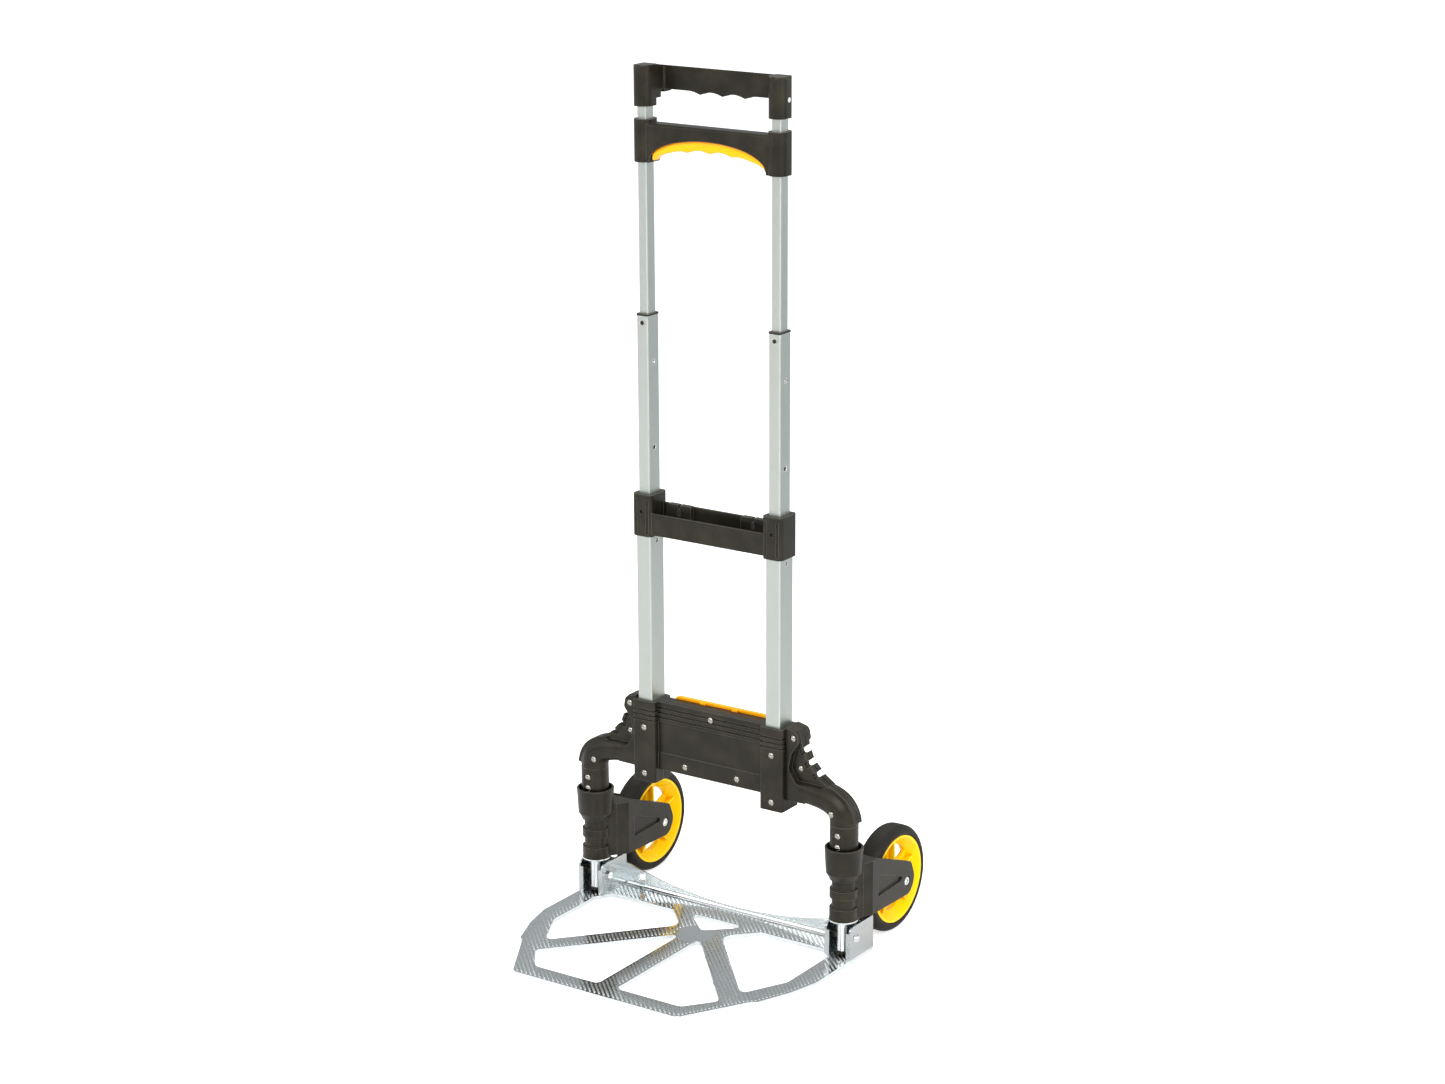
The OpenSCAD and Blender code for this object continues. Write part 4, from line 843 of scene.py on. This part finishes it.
@dataclass
class ToePlate:
    """The pressed plate's ribs, the bend into its rear flange, and the rolled lips of its cord holes."""

    bend: float = 4.5 * MM
    flange_mid: float = 8.5 * MM
    flange_end: float = 33.0 * MM
    flange_reach: float = 161.0 * MM
    bend_reach: float = 155.0 * MM
    hole_x: float = 134.0 * MM
    hole_z: float = 17.0 * MM
    lip_radius: float = 5.2 * MM
    lip_wire: float = 0.9 * MM
    lip_sunk: float = 0.2 * MM
    sheet: float = 2.0 * MM
    bend_sunk: float = 0.6 * MM
    edge_clear: float = 0.7 * MM

    def flange_height(self, x: float) -> float:
        """The height of the rear flange's top edge, which is a shallow arc.

        Args:
            x: where along the flange.

        Returns:
            Its height above the floor.
        """
        rise = self.flange_end - self.flange_mid
        radius = (self.flange_reach**2 + rise**2) / (2 * rise)
        return self.flange_mid + radius - math.sqrt(radius**2 - min(abs(x), self.flange_reach) ** 2)

    def bend_mesh(self, face: float, top: float, steps: int = 78, turns: int = 8) -> Mesh:
        """The hollow rounding between the plate and its flange.

        Args:
            face: the Y of the flange's front face.
            top: the height of the plate's top face.
            steps: how many stretches it has along X.
            turns: how many faces it has round the bend.

        Returns:
            Its mesh.
        """
        mesh = bmesh.new()
        rings = []
        for i in range(steps + 1):
            x = self.bend_reach * (2 * i / steps - 1)
            rise = min(self.bend, self.flange_height(x) - top - self.edge_clear)
            ring = [Vector((x, face + self.bend_sunk, top - self.bend_sunk))]
            for k in range(turns + 1):
                a = math.pi / 2 * k / turns
                ring.append(Vector((x, face - self.bend * (1 - math.sin(a)), top + rise * (1 - math.cos(a)))))
            rings.append(ring)
        loft(mesh, rings, sharp=(0, 1, turns + 1))
        return mesh

    def lips_mesh(self, face: float, around: int = 32, section: int = 10) -> Mesh:
        """The rolled lip round each cord hole.

        Args:
            face: the Y of the flange's front face.
            around: how many faces a lip has round its hole.
            section: how many faces it has round its section.

        Returns:
            Their mesh.
        """
        mesh = bmesh.new()
        for side in Side:
            grid = []
            for i in range(around):
                a = 2 * math.pi * i / around
                out = Vector((math.cos(a), 0, math.sin(a)))
                hole = Vector((side.value * self.hole_x, face - self.lip_sunk, self.hole_z))
                middle = hole + out * self.lip_radius
                turns = (2 * math.pi * k / section for k in range(section))
                forward = Vector((0, -1, 0))
                round_wire = (out * math.cos(b) + forward * math.sin(b) for b in turns)
                grid.append([mesh.verts.new(middle + self.lip_wire * place) for place in round_wire])
            for i in range(around):
                for k in range(section):
                    near, far, up = grid[i], grid[(i + 1) % around], (k + 1) % section
                    mesh.faces.new((near[k], far[k], far[up], near[up])).smooth = True
        return mesh

    def build(self, frame: Frame, finishes: Finishes) -> None:
        """Builds and dresses the plate's details.

        Args:
            frame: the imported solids.
            finishes: the truck's finishes.
        """
        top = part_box("hinge_bracket_right")[0].z
        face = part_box("toe_plate")[1].y - self.sheet
        ribs = PlateRibs().build(frame.nodes["toe_plate"], top)
        finished("toe_plate_ribs", ribs, "toe", finishes.rib)
        finished("toe_plate_bend", self.bend_mesh(face, top), "toe", finishes.plate)
        finished("cord_hole_lips", self.lips_mesh(face), "toe", finishes.steel)


# ---- forks ----


@dataclass
class ForkTaper:
    """The flare that carries a fork's block out of the sleeve on the leg.

    Its sides leave the sleeve at near_y, near_half out from the leg's axis, and slope towards the
    block's own width at block_y. They stop inside the block, at back_y.
    """

    leg_x: float = 174.0 * MM
    leg_y: float = 39.45 * MM
    near_y: float = 43.45 * MM
    near_half: float = 13.8 * MM
    block_y: float = 65.95 * MM
    back_y: float = 53.7 * MM
    bottom: float = 49.5 * MM
    top: float = 114.5 * MM
    # below its floor the cup is solid, and the flare starts inside the neck; above it, inside the cup's wall
    cup_floor: float = 110.3 * MM
    neck_radius: float = 13.4 * MM
    cup_radius: float = 20.2 * MM

    def edge(self, x0: float, x1: float, radius: float) -> tuple[Vector, Vector]:
        """One side of the flare, from the sleeve back to the block.

        Args:
            x0: the side's X at near_y.
            x1: its X at block_y.
            radius: how far from the leg's axis it starts.

        Returns:
            Its first and last point.
        """
        slope = Vector((x1 - x0, self.block_y - self.near_y))
        start = Vector((x0 - self.leg_x, self.near_y - self.leg_y))
        a, b, c = slope.dot(slope), 2 * slope.dot(start), start.dot(start) - radius**2
        t = (-b + math.sqrt(b * b - 4 * a * c)) / (2 * a)
        back = (self.back_y - self.near_y) / (self.block_y - self.near_y)
        place = Vector((x0, self.near_y))
        return place + slope * t, place + slope * back

    def outline(self, fork: tuple[float, float], radius: float, steps: int = 16) -> list[Vector]:
        """The flare in plan, hollowed round the leg.

        Args:
            fork: the block's lowest and highest X.
            radius: the hollow's radius.
            steps: how many faces the hollow has.

        Returns:
            Its corners.
        """
        inner = self.edge(self.leg_x - self.near_half, fork[0], radius)
        outer = self.edge(self.leg_x + self.near_half, fork[1], radius)
        centre = Vector((self.leg_x, self.leg_y))
        first, last = (math.atan2(*(p[0] - centre).yx) for p in (inner, outer))
        hollow = [
            centre + radius * Vector((math.cos(a), math.sin(a)))
            for a in (first + (last - first) * i / steps for i in range(steps + 1))
        ]
        return [*hollow, outer[1], inner[1]]

    def build(self, side: Side, finishes: Finishes) -> None:
        """Builds and dresses one fork's flare.

        Args:
            side: the side of the truck.
            finishes: the truck's finishes.
        """
        low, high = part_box(f"fork_{side.suffix}")
        block = (low.x, high.x) if side is Side.RIGHT else (-high.x, -low.x)
        mesh = bmesh.new()
        neck = (self.neck_radius, self.bottom, self.cup_floor)
        cup = (self.cup_radius, self.cup_floor, self.top)
        for radius, z0, z1 in (neck, cup):
            plan = self.outline(block, radius)
            loft(mesh, [[Vector((side.value * p.x, p.y, z)) for p in plan] for z in (z0, z1)], smooth=False)
        name, body = f"fork_flare_{side.suffix}", f"fork_assembly_{side.suffix}"
        finished(name, mesh, body, finishes.black)


@dataclass
class AxleBolt:
    """A wheel's axle: a ground rod with a low head at each end, broached with a hexagon socket."""

    # head, rod and socket are half widths
    head: float = 5.0 * MM
    head_height: float = 0.9 * MM
    chamfer: float = 0.7 * MM
    chamfer_depth: float = 0.4 * MM
    rod: float = 4.0 * MM
    socket: float = 2.6 * MM
    socket_depth: float = 2.4 * MM
    lead_in: float = 0.5 * MM
    lead_in_depth: float = 0.2 * MM
    around: int = 36

    def ring(self, centre: Vector, radius: float, x: float, hexagon: bool = False) -> list[Vector]:
        """A circle or a hexagon about the axle.

        Args:
            centre: a point on the axle.
            radius: the circle's radius, or half the hexagon's width across its flats.
            x: where it lies.
            hexagon: whether it is a hexagon.

        Returns:
            Its points.
        """
        points = []
        for i in range(self.around):
            a = 2 * math.pi * i / self.around
            sixth = math.pi / 3
            reach = radius / math.cos((a % sixth) - sixth / 2) if hexagon else radius
            points.append(Vector((x, centre.y + reach * math.cos(a), centre.z + reach * math.sin(a))))
        return points

    def build(self, side: Side, finishes: Finishes) -> None:
        """Builds and dresses one wheel's axle.

        Args:
            side: the side of the truck.
            finishes: the truck's finishes.
        """
        node = f"axle_{side.suffix}"
        low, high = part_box(node)
        centre = (low + high) / 2
        # from the bottom of the socket out over the head and in to the rod
        profile = (
            (self.socket, self.socket_depth, True),
            (self.socket, self.lead_in_depth, True),
            (self.socket + self.lead_in, 0.0, False),
            (self.head - self.chamfer, 0.0, False),
            (self.head, self.chamfer_depth, False),
            (self.head, self.head_height, False),
            (self.rod, self.head_height, False),
        )
        near, far = (
            [self.ring(centre, radius, end + inward * depth, hexagon) for radius, depth, hexagon in profile]
            for end, inward in ((low.x, 1), (high.x, -1))
        )
        mesh = bmesh.new()
        loft(mesh, near + far[::-1], smooth=False)
        name, body = f"axle_bolt_{side.suffix}", f"fork_assembly_{side.suffix}"
        bolt = finished(name, mesh, body, finishes.steel)
        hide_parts(node)


# ---- rivets ----


@dataclass
class RivetHeads:
    """Domed rivets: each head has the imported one's seat, stands higher, and has its shank behind it."""

    # head and shank are radii, and crown is the share of the head's radius that is flat on top
    head: float = 3.8 * MM
    packed_height: float = 1.5 * MM
    height: float = 1.9 * MM
    shank: float = 2.0 * MM
    crown: float = 0.04
    around: int = 28
    turns: int = 7

    @staticmethod
    def solids(thing: bpy.types.Object) -> list[tuple[Vector, Vector]]:
        """The box of each separate solid of a node.

        Args:
            thing: the node's object.

        Returns:
            The lowest and highest corner of each.
        """
        mesh = bmesh.new()
        mesh.from_mesh(thing.data)
        bmesh.ops.remove_doubles(mesh, verts=mesh.verts, dist=SAME_POINT)
        left = set(mesh.verts)
        boxes = []
        while left:
            first = min(left, key=lambda v: v.index)
            left.discard(first)
            island, edge = [first], [first]
            while edge:
                for link in edge.pop().link_edges:
                    for vertex in link.verts:
                        if vertex in left:
                            left.discard(vertex)
                            island.append(vertex)
                            edge.append(vertex)
            points = [v.co for v in island]
            boxes.append(tuple(Vector(f(p[i] for p in points) for i in range(3)) for f in (min, max)))
        mesh.free()
        return boxes

    def ring(self, x: float, y: float, z: float, radius: float) -> list[Vector]:
        """A circle about a rivet's axis, which runs along Y."""
        turns = (2 * math.pi * i / self.around for i in range(self.around))
        return [Vector((x + radius * math.cos(a), y, z + radius * math.sin(a))) for a in turns]

    def build(self, node: str, frame: Frame, finishes: Finishes) -> None:
        """Builds and dresses the rivets of one node.

        Args:
            node: the node that they stand for.
            frame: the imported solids.
            finishes: the truck's finishes.
        """
        dome = (self.head**2 + self.height**2) / (2 * self.height)
        mesh = bmesh.new()
        for low, high in self.solids(frame.nodes[node]):
            x, z = (low.x + high.x) / 2, (low.z + high.z) / 2
            seat = low.y + self.packed_height
            rings = []
            for k in range(self.turns + 1):
                radius = self.head * max(self.crown, k / self.turns)
                y = seat - self.height + dome - math.sqrt(dome**2 - radius**2)
                rings.append(self.ring(x, y, z, radius))
            for y, radius in ((seat, self.head), (seat, self.shank), (high.y, self.shank)):
                rings.append(self.ring(x, y, z, radius))
            loft(mesh, rings)
        heads = finished(f"{node}_domed", mesh, "frame", finishes.rivet)
        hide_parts(node)


# ---- the release ----


@dataclass
class SqueezeBar:
    """The yellow bar under the lower handle: full and rounded below, with a cusp between each two fingers."""

    width: float = 16.0 * MM
    half_span: float = 73.5 * MM
    arch_top: float = 920.0 * MM
    arch_height: float = 27.0 * MM
    thickness: float = 7.0 * MM
    # how far the underside hangs below the handle's arch, in the middle and at the ends
    middle: float = 12.3 * MM
    ends: float = 1.0 * MM
    pitch: float = 29.4 * MM
    cusp: float = 2.6 * MM
    # the cusps' share below the plain arch, and how many pitches from the middle they reach
    cusp_hang: float = 0.6
    cusp_reach: float = 1.9
    # the upper side's arch beside the handle's own, and where the bar's ends are cut off
    flatter: float = 2.0 * MM
    wider: float = 0.985
    end_cut: float = 0.998
    rounding: float = 3.6 * MM
    most_rounding: float = 0.45
    # the square tabs at its ends: their width, their lowest height, and how far inside the bar they start
    tab: float = 6.0 * MM
    tab_low: float = 903.0 * MM
    tab_root: float = 4.0 * MM

    def under(self, u: float) -> float:
        """The height of the bar's underside.

        Args:
            u: where it is, from -1 to 1 across the bar.

        Returns:
            Its height above the floor.
        """
        x = u * self.half_span
        fade = max(0.0, 1 - abs(x) / (self.cusp_reach * self.pitch))
        arch = (self.arch_height - self.middle + self.ends) * (1 - math.sqrt(max(0.0, 1 - u * u)))
        bow = abs(math.sin(math.pi * x / self.pitch)) - self.cusp_hang
        wave = min(1.0, 2 * fade) * self.cusp * bow
        return self.arch_top - self.middle - arch + wave

    def over(self, u: float) -> float:
        """The height of the bar's upper side, inside the handle.

        Args:
            u: where it is, from -1 to 1 across the bar.

        Returns:
            Its height above the floor.
        """
        height = self.arch_height + self.thickness - self.flatter
        drop = height * (1 - math.sqrt(max(0.0, 1 - (u * self.wider) ** 2)))
        return self.arch_top + self.thickness - drop

    def section(self, u: float, y: float, turns: int = 6) -> list[Vector]:
        """The bar's section at u.

        Args:
            u: where it is, from -1 to 1 across the bar.
            y: the Y of the bar's middle.
            turns: how many faces round each lower corner.

        Returns:
            Its points.
        """
        x, low, high = u * self.half_span, self.under(u), self.over(u)
        r = min(self.rounding, (high - low) * self.most_rounding)
        half = self.width / 2
        points = [Vector((x, y - half, high))]
        for side in (-1, 1):
            for k in range(turns + 1):
                a = math.pi / 2 * (k if side < 0 else turns - k) / turns
                points.append(Vector((x, y + side * (half - r + r * math.cos(a)), low + r - r * math.sin(a))))
        return [*points, Vector((x, y + half, high))]

    def build(self, finishes: Finishes, steps: int = 120) -> None:
        """Builds and dresses the bar.

        Args:
            finishes: the truck's finishes.
            steps: how many stretches it has across the truck.
        """
        low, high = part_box("release_trigger")
        y = (low.y + high.y) / 2
        mesh = bmesh.new()
        stations = (math.sin(math.pi / 2 * (2 * i / steps - 1)) * self.end_cut for i in range(steps + 1))
        loft(mesh, [self.section(u, y) for u in stations])
        corners = ((-1, 0.0), (1, 0.0), (1, self.tab), (-1, self.tab))
        for side in Side:
            inner, outer = side.value * (self.half_span - self.tab_root), side.value * high.x
            rings = [
                [Vector((x, y + dy * self.tab / 2, self.tab_low + dz)) for dy, dz in corners]
                for x in (inner, outer)
            ]
            loft(mesh, rings, smooth=False)
        bar = finished("squeeze_bar", mesh, "release", finishes.yellow)
        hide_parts("release_trigger")


# ---- the studio ----


@dataclass(frozen=True)
class Softbox:
    """One square studio lamp."""

    name: str
    place: tuple[float, float, float]
    target: tuple[float, float, float]
    size: float
    watts: float

    def build(self) -> None:
        """Builds the lamp and aims it at its target."""
        data = bpy.data.lights.new(self.name, "AREA")
        data.size = self.size
        data.energy = self.watts
        thing = linked(self.name, data)
        thing.location = self.place
        thing.rotation_mode = "QUATERNION"
        aim = Vector(self.target) - Vector(self.place)
        thing.rotation_quaternion = aim.to_track_quat("-Z", "Y")


class Studio:
    """The camera, the white floor, the world and the lamps."""

    AZIMUTH = math.radians(33.61)
    ELEVATION = math.radians(17.76)
    ROLL = math.radians(-0.11)
    EYE = Vector((1.8959, -2.75765, 1.4450))
    LENS_MM = 77.63
    SENSOR_MM = 36.0
    SHIFT = (-0.01395, 0.0610)
    CLIP_END = 200.0
    FLOOR_RADIUS = 40.0
    FLOOR_SIDES = 64
    FLOOR_DROP = 0.2 * MM
    FLOOR_GLOW = 0.55
    PAPER = "#f7f7f7"
    DULL = "#bcc1c8"
    DULL_SIDE = (0.55, 0.83, 0.0)
    DULL_SPAN: Span = (0.3, 2.2, 1.0)
    # what metal mirrors, from the horizon up: the height of each sheet's middle, and its grey
    MIRRORED = (
        (0.0, "#a9adb0"),
        (0.2, "#b2b6b8"),
        (0.3, "#d2d6d7"),
        (0.42, "#a4a8aa"),
        (0.58, "#d6d8d9"),
        (0.9, "#ffffff"),
    )

    def camera(self) -> None:
        """Makes the camera at the viewing angle."""
        data = bpy.data.cameras.new("camera")
        data.lens = self.LENS_MM
        data.sensor_width = self.SENSOR_MM
        data.shift_x, data.shift_y = self.SHIFT
        data.clip_end = self.CLIP_END
        thing = linked("camera", data)
        back = Vector(
            (
                math.sin(self.AZIMUTH) * math.cos(self.ELEVATION),
                -math.cos(self.AZIMUTH) * math.cos(self.ELEVATION),
                math.sin(self.ELEVATION),
            )
        )
        right = Vector((math.cos(self.AZIMUTH), math.sin(self.AZIMUTH), 0))
        up = back.cross(right)
        turned_right = right * math.cos(self.ROLL) + up * math.sin(self.ROLL)
        turned_up = up * math.cos(self.ROLL) - right * math.sin(self.ROLL)
        turn = Matrix((turned_right, turned_up, back)).transposed().to_4x4()
        thing.matrix_world = Matrix.Translation(self.EYE) @ turn
        bpy.context.scene.camera = thing

    def floor(self) -> None:
        """Makes the pale floor, which keeps the truck's shadow and which metal mirrors a little duller."""
        mesh = bmesh.new()
        bmesh.ops.create_circle(
            mesh, cap_ends=True, radius=self.FLOOR_RADIUS, segments=self.FLOOR_SIDES
        )
        floor = mesh_object("studio_floor", mesh)
        floor.location.z = -self.FLOOR_DROP
        material = bpy.data.materials.new("white_floor")
        tree = empty_tree(material)
        path = add_node(tree, "ShaderNodeLightPath")
        paper = add_node(tree, "ShaderNodeBsdfDiffuse", inputs={"Color": linear(self.PAPER)})
        # the sheet grows duller behind the truck, on its right, so that the rails' sides read darker
        place = add_node(tree, "ShaderNodeTexCoord").outputs["Object"]
        behind = add_node(
            tree,
            "ShaderNodeVectorMath",
            {"operation": "DOT_PRODUCT"},
            {0: place, 1: self.DULL_SIDE},
        )
        grade = tinted(tree, self.PAPER, ((behind.outputs["Value"], self.DULL_SPAN, self.DULL),))
        graded = add_node(tree, "ShaderNodeBsdfDiffuse", inputs={"Color": grade})
        glow = add_node(
            tree, "ShaderNodeEmission", inputs={"Color": linear("#ffffff"), "Strength": self.FLOOR_GLOW}
        )
        lit = add_node(tree, "ShaderNodeAddShader", inputs={0: paper.outputs[0], 1: glow.outputs[0]})
        shown = add_node(
            tree,
            "ShaderNodeMixShader",
            inputs={0: path.outputs["Is Camera Ray"], 1: graded.outputs[0], 2: lit.outputs[0]},
        )
        add_node(tree, "ShaderNodeOutputMaterial", inputs={"Surface": shown.outputs[0]})
        floor.data.materials.append(material)

    def world(self) -> None:
        """Makes the world: a plain soft light, white to the camera, with grey sheets for metal to mirror."""
        world = bpy.data.worlds.new("studio_world")
        tree = empty_tree(world)
        path = add_node(tree, "ShaderNodeLightPath")
        direction = add_node(tree, "ShaderNodeTexCoord").outputs["Generated"]
        height = add_node(tree, "ShaderNodeSeparateXYZ", inputs={0: direction}).outputs["Z"]
        band = add_node(tree, "ShaderNodeValToRGB", inputs={"Fac": height})
        stops = band.color_ramp.elements
        first, *between, last = self.MIRRORED
        for stop, (position, colour) in ((stops[0], first), (stops[1], last)):
            stop.position, stop.color = position, linear(colour)
        for position, colour in between:
            stops.new(position).color = linear(colour)
        soft, mirrored, white = (
            add_node(tree, "ShaderNodeBackground", inputs={"Color": colour, "Strength": strength})
            for colour, strength in (
                (linear("#f4f6f8"), 0.78),
                (band.outputs["Color"], 0.95),
                (linear("#ffffff"), 1.0),
            )
        )
        seen = soft
        for ray, shown in (("Is Glossy Ray", mirrored), ("Is Camera Ray", white)):
            seen = add_node(
                tree,
                "ShaderNodeMixShader",
                inputs={0: path.outputs[ray], 1: seen.outputs[0], 2: shown.outputs[0]},
            )
        add_node(tree, "ShaderNodeOutputWorld", inputs={"Surface": seen.outputs[0]})
        bpy.context.scene.world = world

    def lamps(self) -> None:
        """Hangs the softboxes."""
        middle = (0.0, 0.0, 0.45)
        for lamp in (
            Softbox("key_softbox", (1.2, -3.0, 2.7), middle, 2.6, 88.0),
            Softbox("right_softbox", (3.2, -0.7, 1.8), middle, 2.2, 66.0),
            Softbox("fill_softbox", (-2.6, -1.8, 1.9), middle, 2.4, 25.0),
            Softbox("back_softbox", (2.2, 3.0, 1.5), middle, 2.4, 19.0),
            Softbox("floor_softbox", (-1.6, -2.6, 1.7), (-1.6, -2.5, 0.0), 1.2, 14.0),
            Softbox("top_softbox", (-0.6, 1.4, 3.0), middle, 1.8, 26.0),
        ):
            lamp.build()

    def build(self) -> None:
        """Builds the floor, the world and the lamps."""
        self.floor()
        self.world()
        self.lamps()
        scene = bpy.context.scene
        scene.view_settings.view_transform = "Standard"
        log.info("built the studio")


def main() -> None:
    """Builds the scene in order and reports each part."""
    logging.basicConfig(level=logging.INFO, format="%(message)s")
    studio = Studio()
    studio.camera()
    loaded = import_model()
    finishes = Finishes()
    frame = Frame(loaded)
    frame.dress(finishes)
    ToePlate().build(frame, finishes)
    for side in Side:
        ForkTaper().build(side, finishes)
        AxleBolt().build(side, finishes)
    for node in frame.RIVETS:
        RivetHeads().build(node, frame, finishes)
    SqueezeBar().build(finishes)
    studio.build()


if __name__ == "__main__":
    main()
